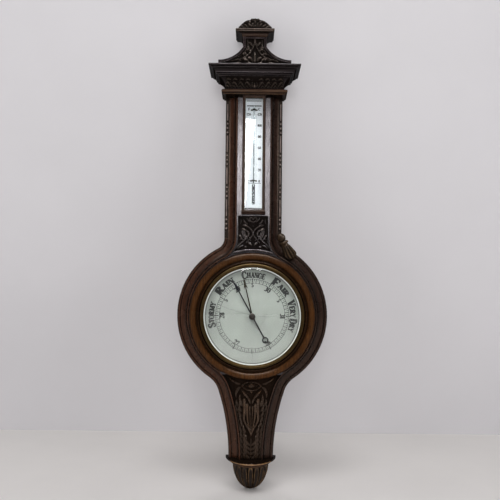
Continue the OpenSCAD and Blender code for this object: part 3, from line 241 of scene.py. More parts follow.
def wood(
    name, tones, worn, grain="Z", gloss=0.26, lighten=0.5, hollow_shade=0.7, raw_back=False, carved=0.0, crown=None,
    side_shade=0.0, rings=None, shine=0.3, sheen=WARM,
):
    """Stained oak: streaked grain, open pores, painted shade in the hollows and lighter edges, worn and
    painted as highlights, under an old wax polish.

    Carved says how dark a relief's ground is painted, and side_shade how far the sides are darkened as
    painted shade. A crown is the two depths between which a bead's front is painted lighter, worn and as a
    painted highlight. Rings are two radii and the shades from one to the other.
    """
    t = Tree(name)
    streak, pores, cloud, colour = wood_grain(t, tones, grain)
    if rings:
        (first, last), stops = rings
        shades = t.ramp(t.level(t.radius(), first * MM, last * MM), stops)
        colour = t.mix(1.0, colour, shades, "MULTIPLY")
    patchy = t.level(t.noise(90.0), 0.36, 0.66)
    rough = t.level(t.noise(38.0, 4.0), 0.3, 0.7, gloss - 0.05, gloss + 0.08)
    aslant = t.add("LayerWeight", {"Blend": 0.5}).outputs["Facing"]
    polish = t.level(aslant, 0.3, 0.7, shine, 0.0)
    facing = t.add("SeparateXYZ", {0: t.add("NewGeometry").outputs["Normal"]}).outputs["Y"]
    if carved:
        raised = t.add("Attribute", attribute_name="carve").outputs["Fac"]
        # Grime and painted shade together: the low ground of a relief is darkened.
        colour = t.mix(t.level(raised, 0.05, 0.5, carved, 0.0), colour, PORE_SHADE_BLACK)
        # The raised tops are marked to be painted lighter, worn and as a painted highlight.
        light_mask = t.times(t.level(raised, 0.6, 1.0), patchy)
        rough = t.math("MAXIMUM", rough, t.level(raised, 0.1, 0.5, 0.7, 0.0))
        polish = t.times(polish, t.level(raised, 0.05, 0.4, 0.05, 1.0))
    elif crown:
        # A bead's front is marked to be painted lighter, worn and as a painted highlight.
        depth = t.add("SeparateXYZ", {0: t.add("TexCoord").outputs["Object"]}).outputs["Y"]
        light_mask = t.times(t.level(depth, *crown, 1.0, 0.0), t.level(patchy, 0.0, 1.0, 0.55, 1.0))
    else:
        # Edges found by occlusion from inside are marked to be painted lighter, worn and as painted highlight
        # lines.
        edge = t.math("SUBTRACT", 1.0, t.occlusion(WORN_AND_HIGHLIGHT_REACH, inside=True))
        light_mask = t.times(t.level(edge, 0.3, 0.75), patchy)
        glint = t.times(t.level(edge, 0.25, 0.7, 0.0, 0.3), t.level(aslant, 0.3, 0.7, 1.0, 0.0))
        polish = t.math("ADD", polish, glint)
    # Painted lighter where marked: worn wood and painted highlights.
    colour = t.mix(t.times(light_mask, lighten), colour, linear(*worn))
    # Painted shade: surfaces turned aside from the front are darkened.
    if side_shade:
        colour = t.mix(t.level(facing, -0.97, -0.6, 0.0, side_shade), colour, PORE_SHADE_BLACK)
    # Painted shade: hollows found by occlusion are darkened.
    hollow = t.level(t.occlusion(HOLLOW_SHADE_REACH), 0.3, 0.95, 1.0, 0.0)
    colour = t.mix(t.times(hollow, hollow_shade), colour, PORE_SHADE_BLACK)
    if raw_back:
        back = t.level(facing, 0.6, 0.8)
        colour = t.mix(back, colour, raw_wood(t, streak, cloud))
        rough = t.math("MAXIMUM", rough, t.times(back, 0.8))
    height = t.math("SUBTRACT", t.times(streak, 0.5), pores)
    normal = t.bump(height, 0.2, GRAIN_DEPTH, t.bevel(EDGE_ROUND))
    polished = {"Roughness": rough, "Specular IOR Level": polish, "Specular Tint": sheen}
    return t.principled({"Base Color": colour, "Normal": normal, **polished})


def aged_metal(name, bright, dull, spots, rough, patina, scale=60.0):
    """Metal that has gone dull in patches, with fine rub marks."""
    t = Tree(name)
    cloud = t.noise(scale, 5.0, 0.6)
    fine = t.noise(900.0, 2.0)
    spots = linear(*spots)
    colour = t.mix(t.level(cloud, 0.5 - patina / 2, 0.75), linear(*bright), linear(*dull))
    hollow = t.level(t.occlusion(0.004), 0.3, 0.9, 0.8, 0.0)
    colour = t.mix(hollow, colour, spots)
    colour = t.mix(t.level(fine, 0.62, 0.75, 0.0, 0.5), colour, spots)
    roughness = t.level(cloud, 0.3, 0.75, rough - 0.06, rough + 0.18)
    normal = t.bump(fine, 0.15, 0.00008, t.bevel(0.0003))
    return t.principled({"Base Color": colour, "Metallic": 1.0, "Roughness": roughness, "Normal": normal})


def glazed(name, colour, shade):
    """White glazed plate: faint clouding and specks."""
    t = Tree(name)
    cloud = t.noise(26.0, 4.0)
    base = t.mix(t.level(cloud, 0.35, 0.72), linear(*colour), linear(*shade))
    specks = t.level(t.noise(700.0, 2.0), 0.7, 0.78, 0.0, 0.35)
    base = t.mix(specks, base, linear(120, 116, 104))
    normal = t.bump(cloud, 0.05, 0.0002)
    return t.principled({"Base Color": base, "Roughness": 0.4, "Normal": normal, "Specular IOR Level": 0.12})


def ink(name, colour):
    """A matt print, thinned a little where it has worn."""
    t = Tree(name)
    worn = t.level(t.noise(420.0, 3.0), 0.55, 0.8, 0.0, 0.2)
    colour = t.mix(worn, linear(*colour), linear(120, 120, 112))
    return t.principled({"Base Color": colour, "Roughness": 0.55})


def clear_glass(name, tint, smear):
    """Clear glass that lets the lamps through, with faint smears."""
    t = Tree(name)
    rough = t.level(t.noise(34.0, 4.0, 0.6), 0.45, 0.8, 0.0, smear)
    glass = t.add(
        "BsdfPrincipled", {"Base Color": tint, "Roughness": rough, "Transmission Weight": 1.0, "IOR": 1.47}
    )
    through = t.add("BsdfTransparent", {"Color": tint})
    path = t.add("LightPath")
    both = t.add("MixShader", {0: path.outputs["Is Shadow Ray"], 1: glass.outputs[0], 2: through.outputs[0]})
    return t.surface(both.outputs[0])


# Woods, each as its dark, middle and light screen tones.
DARK = ((14, 10, 8), (24, 17, 14), (36, 25, 21))
GREY = ((26, 21, 19), (50, 42, 38), (78, 67, 61))
EBON = ((20, 16, 14), (40, 33, 29), (62, 52, 46))
SMOKED = ((19, 15, 15), (35, 28, 28), (57, 47, 47))
UMBER = ((34, 22, 15), (62, 42, 29), (90, 63, 44))
BROWN = ((24, 14, 11), (40, 25, 20), (60, 40, 32))
# The brown painted as if lit, for the left moulding: painted light.
LIT_BROWN = ((34, 19, 12), (61, 35, 24), (86, 53, 37))
RED = ((40, 23, 10), (68, 41, 19), (96, 61, 30))
TAIL = ((24, 16, 10), (44, 30, 21), (67, 47, 31))
TAN = ((28, 21, 15), (46, 35, 25), (68, 53, 38))
HONEY = ((104, 76, 46), (122, 90, 56), (138, 104, 68))

# The turned ring's shades from its inner to its outer radius, and the depths of a bead's crown, which is
# painted lighter, worn and as a painted highlight.
RING_BANDS = ((104, 127), [(0.0, 0.3), (0.26, 0.36), (0.36, 1.0), (0.78, 1.0), (0.92, 0.5), (1.0, 0.35)])
CROWN = tuple(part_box("left_bead_strip")[0].y + by * MM for by in (0.15, 1.0))


def finish(names, material):
    """Give nodes of the frame their material."""
    for name in names.split():
        NODES[name].data.materials.clear()
        NODES[name].data.materials.append(material)


head_wood = wood("head_oak", SMOKED, (136, 118, 118), "X", 0.17, 1.0, side_shade=0.85, shine=0.14, sheen=ROSY)
# Lit and shaded copies of one brown: the left moulding painted as lit, the right as shaded.
brown_lit_left = wood("brown_oak_lit_left", LIT_BROWN, (104, 76, 52), side_shade=0.8)
brown_shaded_right = wood("brown_oak_shaded_right", BROWN, (84, 60, 48), side_shade=0.8)
bead_wood = wood("bead_oak", DARK, (132, 118, 113), "Z", 0.24, 1.0, 1.0, crown=CROWN, shine=0.14)
brown_across = wood("brown_oak_across", UMBER, (146, 106, 66), "X", 0.2, 0.9, side_shade=0.85, shine=0.16)
carved_up = wood(
    "carved_oak_upright", GREY, (168, 154, 144), "Z", 0.22, 0.9, 0.3, carved=0.85, shine=0.7, sheen=ROSY
)
carved_across = wood("carved_oak_across", EBON, (122, 106, 100), "X", 0.2, 0.7, 0.4, carved=0.85, shine=0.5)
carved_tail = wood("carved_oak_tail", TAIL, (112, 80, 52), "Z", 0.24, 0.8, 0.35, carved=0.65, shine=0.6)
carved_boss = wood("carved_oak_boss", DARK, (112, 84, 54), "Z", 0.3, 1.0, 0.3, carved=0.3)
carved_tan = wood("carved_oak_tan", TAN, (106, 84, 60), gloss=0.36, lighten=0.6, carved=0.88)
# The shelf's lip: a light strip, worn and a painted highlight line.
honey_wood = wood("honey_oak", HONEY, (160, 120, 74), "X", lighten=0.3, hollow_shade=0.2)
black_ink = ink("black_print", (8, 8, 8))
grey_ink = ink("grey_print", (62, 64, 64))
# Painted reflection: the pale ring where the glass's bevel catches the light.
glint_ink = ink("painted_bevel_glint", (226, 230, 226))
movement_brass = aged_metal("movement_brass", (196, 166, 98), (150, 122, 70), (80, 60, 34), 0.34, 0.1)
steel = aged_metal("bright_steel", (176, 176, 178), (132, 132, 134), (86, 82, 78), 0.32, 0.1)
brass = aged_metal("aged_brass", (150, 122, 70), (100, 80, 46), (58, 44, 26), 0.32, 0.3)
mercury = aged_metal("mercury", (186, 186, 190), (150, 150, 156), (120, 120, 124), 0.14, 0.0, 300.0)

finish("back_board", wood("board_oak", DARK, (92, 74, 66), raw_back=True))
finish("raised_panel", wood("panel_oak", DARK, (92, 76, 74), gloss=0.17, lighten=0.6, shine=0.8, sheen=ROSY))
finish("frieze cornice pediment_panel crest", head_wood)
finish("pediment_cap", wood("cap_oak", BROWN, (136, 98, 60), "X", 0.2, 0.9, side_shade=0.85, shine=0.16))
finish("necking_moulding shelf", brown_across)
finish("left_frame_moulding", brown_lit_left)
finish("right_frame_moulding", brown_shaded_right)
finish("left_bead_strip right_bead_strip", bead_wood)
finish("thermometer_box thermometer_sill", wood("box_oak", BROWN, (122, 92, 66), lighten=0.8, shine=0.16))
finish("dial_ring", wood("turned_oak", RED, (124, 84, 46), lighten=0.3, rings=RING_BANDS, shine=0.1))
finish("upper_carving", carved_up)
finish("lower_carving base_boss", carved_tail)
finish("pediment_carving", carved_across)
finish("shoulder_carving", carved_tan)
finish("bezel sight_ring", aged_metal("bezel_brass", (84, 68, 42), (54, 43, 28), (32, 25, 17), 0.36, 0.5))
finish("hanger_plate set_spindle adjusting_screw", brass)
finish("set_hand", aged_metal("dark_bronze", (84, 72, 52), (54, 46, 36), (40, 32, 24), 0.36, 0.4))
finish("pressure_hand", aged_metal("blued_steel", (34, 34, 40), (22, 21, 22), (52, 42, 34), 0.42, 0.2))
finish("set_knob tube_clips", aged_metal("knob_metal", (74, 70, 66), (52, 49, 46), (34, 31, 28), 0.4, 0.3))
finish("movement_pan base_plate capsule_post spring_foot spring_clamp main_lever", movement_brass)
finish("rocker_bracket arbor_cock cock_pillars", movement_brass)
finish("hanger_screws pan_screws plate_screws clamp_screws lever_screws capsule main_spring", steel)
finish("lever_link rocking_shaft chain arbor hairspring", steel)
finish("thermometer_column", mercury)
finish("dial_plate", glazed("dial_glaze", (145, 149, 143), (138, 141, 136)))
finish("thermometer_plate", glazed("opal_plate", (218, 221, 226), (208, 211, 217)))
finish("dial_glass thermometer_glass", clear_glass("clear_glass", (0.97, 0.985, 0.98, 1), 0.03))
finish("thermometer_tube", clear_glass("tube_glass", (0.96, 0.98, 0.98, 1), 0.0))


# Print on the dial and on the thermometer

# A plain serif type, in hundredths of its height: thickness of main strokes and hairlines, reach and height
# of serifs. Each form below is a list of convex outlines.
TALL = 100
STEM, HAIR, SERIF, FOOT = 39, 18, 22, 14.4


def block(x0, x1, z0, z1):
    return [[(x0, z0), (x1, z0), (x1, z1), (x0, z1)]]


def foot(x, z):
    """A serif at the foot or at the top."""
    low = z - FOOT if z else 0
    return block(x - SERIF, x + SERIF, low, low + FOOT)


def stem(x, thick=STEM):
    """An upright of full height with both its serifs."""
    return block(x - thick / 2, x + thick / 2, 0, TALL) + foot(x, 0) + foot(x, TALL)


def bar(z, x0, x1):
    """A level hairline."""
    return block(x0, x1, z - HAIR / 2, z + HAIR / 2)


def beak(x, z0, z1):
    """A short upright hairline."""
    return block(x - HAIR / 2, x + HAIR / 2, z0, z1)


def slant(x0, z0, x1, z1, thick):
    """A sloping stroke from its lower to its upper end."""
    half = thick / 2
    return [[(x0 - half, z0), (x0 + half, z0), (x1 + half, z1), (x1 - half, z1)]]


def bowl(x, z, rx, rz, first=0, last=360):
    """A round stroke between two angles, thick at its sides and thin at its top and foot."""
    steps = max(6, int((last - first) / 20))
    rim = []
    for i in range(steps + 1):
        a = math.radians(first + (last - first) * i / steps)
        wide, high = (HAIR + (STEM - HAIR) * abs(math.cos(a))) / 2, HAIR / 2
        rim.append([(x + (rx + k * wide) * math.cos(a), z + (rz + k * high) * math.sin(a)) for k in (-1, 1)])
    return [[a, b, d, c] for (a, b), (c, d) in zip(rim, rim[1:])]


# Width and forms of each letter and digit.
TYPE = {
    "A": (90, slant(14, 0, 45, 100, HAIR) + slant(74, 0, 45, 100, STEM) + bar(34, 25, 66) + foot(14, 0)
          + foot(74, 0)),
    "C": (86, bowl(45, 50, 34, 46, 50, 310) + beak(72, 62, 96) + beak(72, 6, 30)),
    "D": (88, stem(20) + bowl(34, 50, 38, 46, -90, 90) + bar(96, 20, 36) + bar(4, 20, 36)),
    "E": (82, stem(20) + bar(96, 20, 72) + bar(50, 20, 56) + bar(4, 20, 74) + beak(70, 74, 100)
          + beak(54, 38, 62) + beak(72, 0, 28)),
    "F": (80, stem(20) + bar(96, 20, 72) + bar(50, 20, 56) + beak(70, 70, 100) + beak(54, 38, 62)),
    "G": (90, bowl(45, 50, 34, 46, 50, 310) + beak(72, 62, 96) + beak(70, 6, 44) + bar(44, 54, 86)),
    "H": (96, stem(20) + stem(74) + bar(50, 20, 74)),
    "I": (44, stem(22)),
    "M": (112, stem(14, HAIR) + stem(94) + slant(54, 8, 18, 100, STEM) + slant(54, 8, 88, 100, HAIR)),
    "N": (94, stem(14, HAIR) + stem(78, HAIR) + slant(74, 0, 18, 100, STEM)),
    "O": (90, bowl(45, 50, 34, 46)),
    "R": (90, stem(20) + bowl(40, 74, 24, 22, -90, 90) + bar(96, 20, 42) + bar(52, 20, 42)
          + slant(74, 0, 42, 52, STEM) + foot(76, 0)),
    "S": (74, bowl(36, 74, 22, 22, 40, 250) + bowl(36, 27, 24, 23, -140, 70)
          + slant(52, 36, 20, 64, STEM) + beak(58, 66, 98) + beak(12, 2, 32)),
    "T": (84, stem(42) + bar(96, 4, 80) + beak(6, 70, 100) + beak(78, 70, 100)),
    "V": (88, slant(44, 0, 12, 100, STEM) + slant(44, 0, 76, 100, HAIR) + foot(12, 100) + foot(76, 100)),
    "Y": (86, slant(42, 46, 12, 100, STEM) + slant(42, 46, 74, 100, HAIR) + beak(42, 0, 50)
          + beak(48, 0, 50) + foot(12, 100) + foot(74, 100) + foot(45, 0)),
    "0": (76, bowl(38, 50, 26, 46)),
    "1": (50, stem(26) + slant(6, 78, 22, 98, HAIR)),
    "2": (74, bowl(36, 72, 22, 24, -30, 170) + slant(14, 6, 52, 60, 16) + bar(6, 8, 64) + beak(60, 0, 26)),
    "3": (74, bowl(34, 75, 20, 21, -90, 150) + bowl(34, 28, 24, 24, -150, 90)),
    "4": (76, stem(50) + bar(30, 4, 70) + slant(10, 30, 44, 100, HAIR)),
    "5": (74, bowl(34, 31, 24, 27, -150, 120) + beak(18, 50, 98) + bar(94, 16, 60)),
    "6": (76, bowl(38, 29, 24, 25) + bowl(54, 42, 40, 54, 90, 180)),
    "7": (72, bar(94, 8, 64) + slant(26, 0, 58, 94, HAIR) + beak(10, 72, 98)),
    "8": (76, bowl(38, 74, 20, 21) + bowl(38, 27, 24, 23)),
    "9": (76, bowl(38, 71, 24, 25) + bowl(22, 58, 40, 54, -90, 0)),
}


class Print:
    """Flat marks on a plate, gathered into one thin solid piece."""

    thickness = 0.05

    def __init__(self, face):
        self.face = face
        self.verts = []
        self.faces = []

    def prism(self, outline):
        """A thin solid on a convex outline of (x, z) points, anticlockwise from the front."""
        start, n = len(self.verts), len(outline)
        for w in (self.face - self.thickness, self.face + self.thickness):
            self.verts += [place(x, w, z) for x, z in outline]
        self.faces.append([start + i for i in reversed(range(n))])
        self.faces.append([start + n + i for i in range(n)])
        for i in range(n):
            j = (i + 1) % n
            self.faces.append([start + i, start + j, start + n + j, start + n + i])

    def band(self, r0, r1, steps=120):
        """A ring about the dial's centre."""
        turn = [2 * math.pi * i / steps for i in range(steps + 1)]
        for a, b in zip(turn, turn[1:]):
            corners = ((r0, b), (r1, b), (r1, a), (r0, a))
            self.prism([(r * math.sin(t), r * math.cos(t)) for r, t in corners])

    def tick(self, deg, r0, r1, half):
        """A radial mark, its angle clockwise from the top."""
        s, c = sine_cosine(deg)
        corners = [(-half, r0), (half, r0), (half, r1), (-half, r1)]
        self.prism([(c * x + s * r, -s * x + c * r) for x, r in corners])

    def bar(self, x0, x1, z0, z1):
        self.prism(block(x0, x1, z0, z1)[0])

    def glyphs(self, text, size, at, deg, wide=0.8):
        """A short text with its foot's middle at a point, turned clockwise."""
        s, c = sine_cosine(deg)
        start, unit = -sum(TYPE[ch][0] for ch in text) / 2, size / TALL
        for ch in text:
            share, outlines = TYPE[ch]
            for outline in outlines:
                flat = [((start + x) * unit * wide, z * unit) for x, z in outline]
                self.prism([(at[0] + c * x + s * z, at[1] - s * x + c * z) for x, z in flat])
            start += share

    def radial(self, text, size, r, deg, inward=False, wide=0.8):
        """A text at a radius, its foot towards the centre or, in the lower half, towards the rim."""
        s, c = sine_cosine(deg)
        self.glyphs(text, size, (r * s, r * c), deg + (180 if inward else 0), wide)

    def word(self, text, first, last, size, r):
        """A word along the rim between two angles, with a tall first letter for each of its parts."""
        tall, space, drop = 1.42, 30, 0.25
        highs = [tall if i == 0 or text[i - 1] == " " else 1.0 for i in range(len(text))]
        shares = [high * (space if ch == " " else TYPE[ch][0]) for ch, high in zip(text, highs)]
        wide = math.radians(last - first) * (r + size / 2) / (sum(shares) * size / TALL)
        at = 0.0
        for ch, high, share in zip(text, highs, shares):
            deg = first + (last - first) * (at + share / 2) / sum(shares)
            if ch != " ":
                self.radial(ch, size * high, r - (high - 1) * size * drop, deg, wide=wide)
            at += share

    def done(self, name, material, slot):
        return piece(name, self.verts, self.faces, material, slot, smooth=False)


# The dial's scale: its two radii, degrees per inch, the reading at the top and the steps in an inch.
SCALE_IN, SCALE_OUT = 65.6, 73.6
INCH_DEG, TOP_READING, INCH_STEPS = 60.0, 29.5, 20
# Each mark's start past the inner radius, its end past the outer one and its half thickness.
MARKS = {"inch": (1.6, 2.6, 1.1), "half": (1.2, 1.4, 0.8), "tenth": (0, 0, 0.58), "step": (3.6, 0, 0.42)}
# Size and radius of the numbers, of those near the foot, of the fives between them and of the words.
NUMBER, LOW_NUMBER, FIVE, WORD = (10.0, 55.8), (10.0, 66.8), (8.0, 57.4), (10.8, 76.2)
# Each word's first and last angle, clockwise from the top.
WEATHER = {
    "STORMY": (-107, -71), "RAIN": (-58, -28), "CHANGE": (-15, 18), "FAIR": (30, 60), "VERY DRY": (68, 112),
}


def mark_at(step):
    """Kind of mark at a step of the scale, counted from the half inch at the top."""
    if step % (INCH_STEPS // 2) == 0:
        return "half" if step % INCH_STEPS == 0 else "inch"
    return "step" if step % 2 else "tenth"


def dial_print():
    """Scale of inches with tenths and twentieths, six numbers and the usual weather words."""
    p = Print(DIAL_FACE)
    first, last, line = 26, 31, 0.38
    for r in (SCALE_IN, SCALE_OUT):
        p.band(r - line, r + line)
    for step in range((last - first + 1) * INCH_STEPS):
        start, past, half = MARKS[mark_at(step)]
        p.tick(step * INCH_DEG / INCH_STEPS, SCALE_IN + start, SCALE_OUT + past, half)
    for inches in range(first, last + 1):
        deg = (inches - TOP_READING) * INCH_DEG
        low = math.cos(math.radians(deg)) < -0.2
        p.radial(str(inches), *(LOW_NUMBER if low else NUMBER), deg, low)
        half_inch = deg + INCH_DEG / 2
        if inches < last and abs(half_inch) < 120:
            p.radial("5", *FIVE, half_inch)
    for text, ends in WEATHER.items():
        p.word(text, *ends, *WORD)
    return p.done("dial_print", black_ink, "black_steel")


CRACKS = (
    [(-63, 20), (-44, 13), (-20, 6), (0, 1), (22, -1.6), (48, -1.4), (72, -2.6)],
    [(27, -2.4), (23, -10), (18, -18)],
    [(0, -62), (1.4, -74), (0.4, -90)],
)


def dial_cracks():
    """Hairline cracks in the glaze."""
    p = Print(DIAL_FACE)
    half = 0.16
    for points in CRACKS:
        line = smooth_line(points, 24)
        side = np.gradient(line, axis=0)[:, ::-1] * (-1, 1)
        side *= half / np.linalg.norm(side, axis=1)[:, None]
        for a, b, u, v in zip(line, line[1:], side, side[1:]):
            p.prism([tuple(a - u), tuple(b - v), tuple(b + v), tuple(a + u)])
    return p.done("dial_cracks", grey_ink, "dial_white")


def thermometer_print():
    """Two header lines, a scale of degrees on both sides of the tube and a line at the bulb's clip."""
    p = Print(PLATE_FACE)
    low, high = design_z(PLATE_LOW.z), design_z(PLATE_HIGH.z)
    tube_low, tube_high, half = low + 52.0, high - 24.0, 15.0
    lines = ((high - 6.0, high - 4.4), (high - 16.6, high - 14.2), (tube_low - 1.8, tube_low - 0.6))
    for line in lines:
        p.bar(-half, half, *line)
    for side, letter in ((-1, "F"), (1, "C")):
        p.glyphs(letter, 5.6, (side * 10.4, high - 25.0), 0)
    degrees, step, numbered, foot_room, spare_room = 120, 2, 20, 3, 12
    beside, thin_half, size, number_x, wide = 4.0, 0.2, 5.4, 11.4, 0.78
    for degree in range(0, degrees + 1, step):
        z = tube_low + foot_room + (tube_high - tube_low - spare_room) * degree / degrees
        reach = 4.2 if degree % numbered == 0 else 3.0 if degree % 10 == 0 else 1.8
        for side in (-1, 1):
            p.bar(*sorted((side * beside, side * (beside + reach))), z - thin_half, z + thin_half)
            if degree % numbered == 0:
                p.glyphs(str(degree), size, (side * number_x, z - size / 2), 0, wide)
    return p.done("thermometer_print", grey_ink, "black_steel")


# Carved reliefs

# A depth well in front of everything, from which the solids' fronts are sought.
AHEAD = 200.0


def front_of(node, x, z):
    """Depths of a node's front at arrays of x and z, nan where the node isn't found."""
    mesh = NODES[node].data
    tree = BVHTree.FromPolygons([v.co for v in mesh.vertices], [p.vertices for p in mesh.polygons])
    backwards = Vector((0, 1, 0))
    hits = [tree.ray_cast(Vector(place(a, AHEAD, b)), backwards)[0] for a, b in zip(x.flat, z.flat)]
    return np.array([np.nan if hit is None else -hit.y / MM for hit in hits]).reshape(x.shape)


def smooth_line(points, n=30):
    """A smooth curve through the points."""
    p = np.array([points[0], *points, points[-1]], float)
    out = []
    spans = len(points) - 1
    for t in np.linspace(0, spans - 1e-6, n):
        i, f = int(t), t - int(t)
        a, b, c, d = p[i : i + 4]
        bend = (2 * a - 5 * b + 4 * c - d) * f**2 + (3 * b - a - 3 * c + d) * f**3
        out.append(0.5 * (2 * b + (c - a) * f + bend))
    return np.array(out)


def rounded(u):
    """A half-round profile across a stroke, from 1 in its middle to 0 at its edge."""
    return np.sqrt(np.clip(1 - u**2, 0, 1))


def grooved(u, share, wide):
    """A share taken away along the middle of a stroke."""
    return 1 - share * np.exp(-((u / wide) ** 2))


def leaf_height(d, t, half, lobes):
    """A lobed leaf with a vein, from its root at t = 0 to its curled tip at t = 1."""
    wave = np.sin(np.pi * lobes * (t - 0.16 * np.minimum(d / half, 1)))
    wide = half * np.sin(np.pi * (0.08 + 0.88 * t) ** 0.8) * (0.78 + 0.22 * np.abs(wave))
    u = d / np.maximum(wide, 0.15)
    lobe = 0.86 + 0.14 * np.abs(wave)
    curl = 0.62 + 0.5 * np.sin(np.pi * t**1.6)
    return rounded(u) * grooved(u, 0.34, 0.16) * lobe * curl


def stroke(x, z, kind, points, half, rise):
    """Height of one carved stroke over arrays of x and z: a lobed leaf, a round stem, a flute or a dome."""
    line = smooth_line(points)
    tangent = np.gradient(line, axis=0)
    away = (x[..., None] - line[:, 0]) ** 2 + (z[..., None] - line[:, 1]) ** 2
    k = away.argmin(-1)
    d = np.sqrt(away.min(-1))
    t = k / (len(line) - 1)
    side = np.sign(tangent[k, 0] * (z - line[k, 1]) - tangent[k, 1] * (x - line[k, 0]))
    if kind == "leaf":
        return rise * leaf_height(d, t, half, max(3, round(len(points) * 1.6)))
    if kind == "flute":
        u = d / (half * (0.3 + 0.7 * t))
        return rise * rounded(u) * grooved(u, 0.3, 0.2)
    u = d / half
    if kind == "dome":
        return rise * rounded(u)
    return rise * rounded(u) * grooved(side * u - 0.1, 0.22, 0.2)


def carve(x, z, strokes):
    """The strokes on both sides of the centre line, the highest one showing."""
    height = np.zeros(x.shape)
    for kind, half, rise, *points in strokes:
        low, high = np.min(points, axis=0) - 2 * half, np.max(points, axis=0) + 2 * half
        for side in (1, -1):
            near = (side * x > low[0]) & (side * x < high[0]) & (z > low[1]) & (z < high[1])
            if near.any():
                shape = stroke(side * x[near], z[near], kind, points, half, rise)
                height[near] = np.maximum(height[near], shape)
    return height


def stippled(shape, depth, seed):
    """A punched ground: small random dots."""
    rng = np.random.default_rng(seed)
    raw = rng.random(shape)
    near = sum((np.roll(raw, by, axis) for axis in (0, 1) for by in (1, -1)), raw) / 5
    return depth * np.clip((near - 0.42) * 5, 0, 1)


def relief(name, node, strokes, box, step, bed, material, slot, stands_for, back, ground, seed):
    """A closed carved panel over the part of a box where a node is found, on a flat bed or on its front."""
    x0, x1, z0, z1 = box
    xs = np.linspace(x0, x1, int((x1 - x0) / step) | 1)
    zs = np.linspace(z0, z1, int((z1 - z0) / step) | 1)
    x, z = np.meshgrid(xs, zs)
    floor = front_of(node, x, z)
    inside = ~np.isnan(floor)
    if bed is not None:
        floor = np.where(inside, bed, np.nan)
    raised = carve(x, z, strokes)
    top = floor + np.where(raised > 0.3, raised, stippled(x.shape, ground, seed))
    near, far = slice(None, -1), slice(1, None)
    corners = ((near, near), (near, far), (far, far), (far, near))
    cells = np.logical_and.reduce([inside[corner] for corner in corners])
    used = np.zeros(x.shape, bool)
    number = np.full(x.shape, -1)
    for corner in corners:
        used[corner] |= cells
    count = int(used.sum())
    number[used] = np.arange(count)
    verts = [place(a, w, b) for a, w, b in zip(x[used], top[used], z[used])]
    verts += [place(a, w - back, b) for a, w, b in zip(x[used], floor[used], z[used])]
    front = np.stack([number[corner][cells] for corner in corners], axis=1)
    faces = [*front.tolist(), *(front[:, ::-1] + count).tolist()]
    around = np.pad(cells, 1)
    neighbours = (around[:-2, 1:-1], around[1:-1, 2:], around[2:, 1:-1], around[1:-1, :-2])
    for k, neighbour in enumerate(neighbours):
        for p, q in front[~neighbour[cells]][:, (k, (k + 1) % 4)].tolist():
            faces.append((q, p, count + p, count + q))
    # Share of height: the wood paints the ground darker as painted shade, the tops lighter.
    lit_share = np.clip(raised[used] / max(rise for _, _, rise, *_ in strokes), 0, 1)
    carve_values = np.concatenate([lit_share, np.zeros(count)]).astype(np.float32)
    return piece(name, verts, faces, material, slot, stands_for=stands_for, carve=carve_values)


def node_box(name):
    low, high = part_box(name)
    return low.x / MM, high.x / MM, design_z(low.z), design_z(high.z)


# Each carving's strokes on its right half: the kind, half width, rise and points along the middle.
UPPER = [
    ("stem", 1.15, 5.4, (0, 194.4), (2.6, 198), (6.2, 197.6), (7.0, 193.8), (4, 190.6), (0, 188.9)),
    ("stem", 1.2, 4.6, (12.6, 197.4), (10.4, 193.4), (6.6, 190)),
    ("stem", 1.5, 5.2, (19.2, 193), (16.6, 188.6), (12.6, 185.4)),
    ("leaf", 2.4, 6.6, (21, 182.4), (16.4, 182.4), (9.6, 179.4)),
    ("stem", 1.3, 5.2, (16, 182), (10.6, 179.4), (5, 175.4), (1.8, 171), (0, 165.6), (-2, 160.8),
     (-6.6, 154.6), (-13, 147.4)),
    ("leaf", 2.5, 6.8, (23, 174), (19.4, 174.8), (15, 171.6)),
    ("leaf", 4.4, 3.4, (20.4, 173.6), (19, 167.6), (15.6, 160.4), (10.2, 153.4)),
    ("stem", 1.7, 3.9, (14.4, 172.4), (9.8, 168.8), (9, 163.6), (12.4, 158.4), (19.6, 150.6),
     (30.6, 140.5), (42, 130.8)),
    ("stem", 1.0, 3.4, (23, 170), (20.4, 161), (14.6, 153.4)),
    ("leaf", 2.2, 6.4, (22.4, 156), (25.6, 160.2), (28.4, 163.2)),
    ("leaf", 1.5, 4.2, (20, 153), (23.6, 154.6), (27.6, 153.4)),
    ("leaf", 2.3, 6.4, (10, 148.2), (5.6, 145), (1.6, 141.4)),
    ("leaf", 1.3, 3.4, (4, 150.6), (6, 154), (6.6, 158.4)),
    ("dome", 2.0, 4.8, (14, 138.8), (15.4, 138.6)),
    ("leaf", 1.8, 4.4, (20, 141.6), (25, 139.6), (31, 134.6)),
    ("leaf", 1.3, 2.6, (25.4, 196), (24.4, 190), (26.4, 184.6)),
    ("dome", 1.2, 3.4, (0, 180.6), (0, 181.4)),
]


ROSETTE_Z = -141.0


def petal(turn):
    """One petal of the rosette at an angle."""
    tip = (7.6 * math.cos(turn), ROSETTE_Z + 5.2 * math.sin(turn))
    return ("leaf", 2.0, 5.8, (0, ROSETTE_Z), tip)


def small_leaf(row, z):
    """A small leaf in the inner or outer row beside the fan, curling up and outwards."""
    widest, at, bend, narrowest, apart = 19.4, -196, 0.0061, 9.0, 7.2
    x = max(narrowest, widest - bend * (z - at) ** 2) + apart * row
    return ("leaf", 3.5, 3.3 - 0.5 * row, (x, z), (x + 3.4, z + 4.2), (x + 5.0, z + 9.4), (x + 3.4, z + 14.0))


def foot_leaf(z):
    """One of the leaves that rise from the middle of the tail's foot."""
    return ("leaf", 3.0, 3.0, (1.2, z), (6.4, z + 4), (12.4, z + 15))


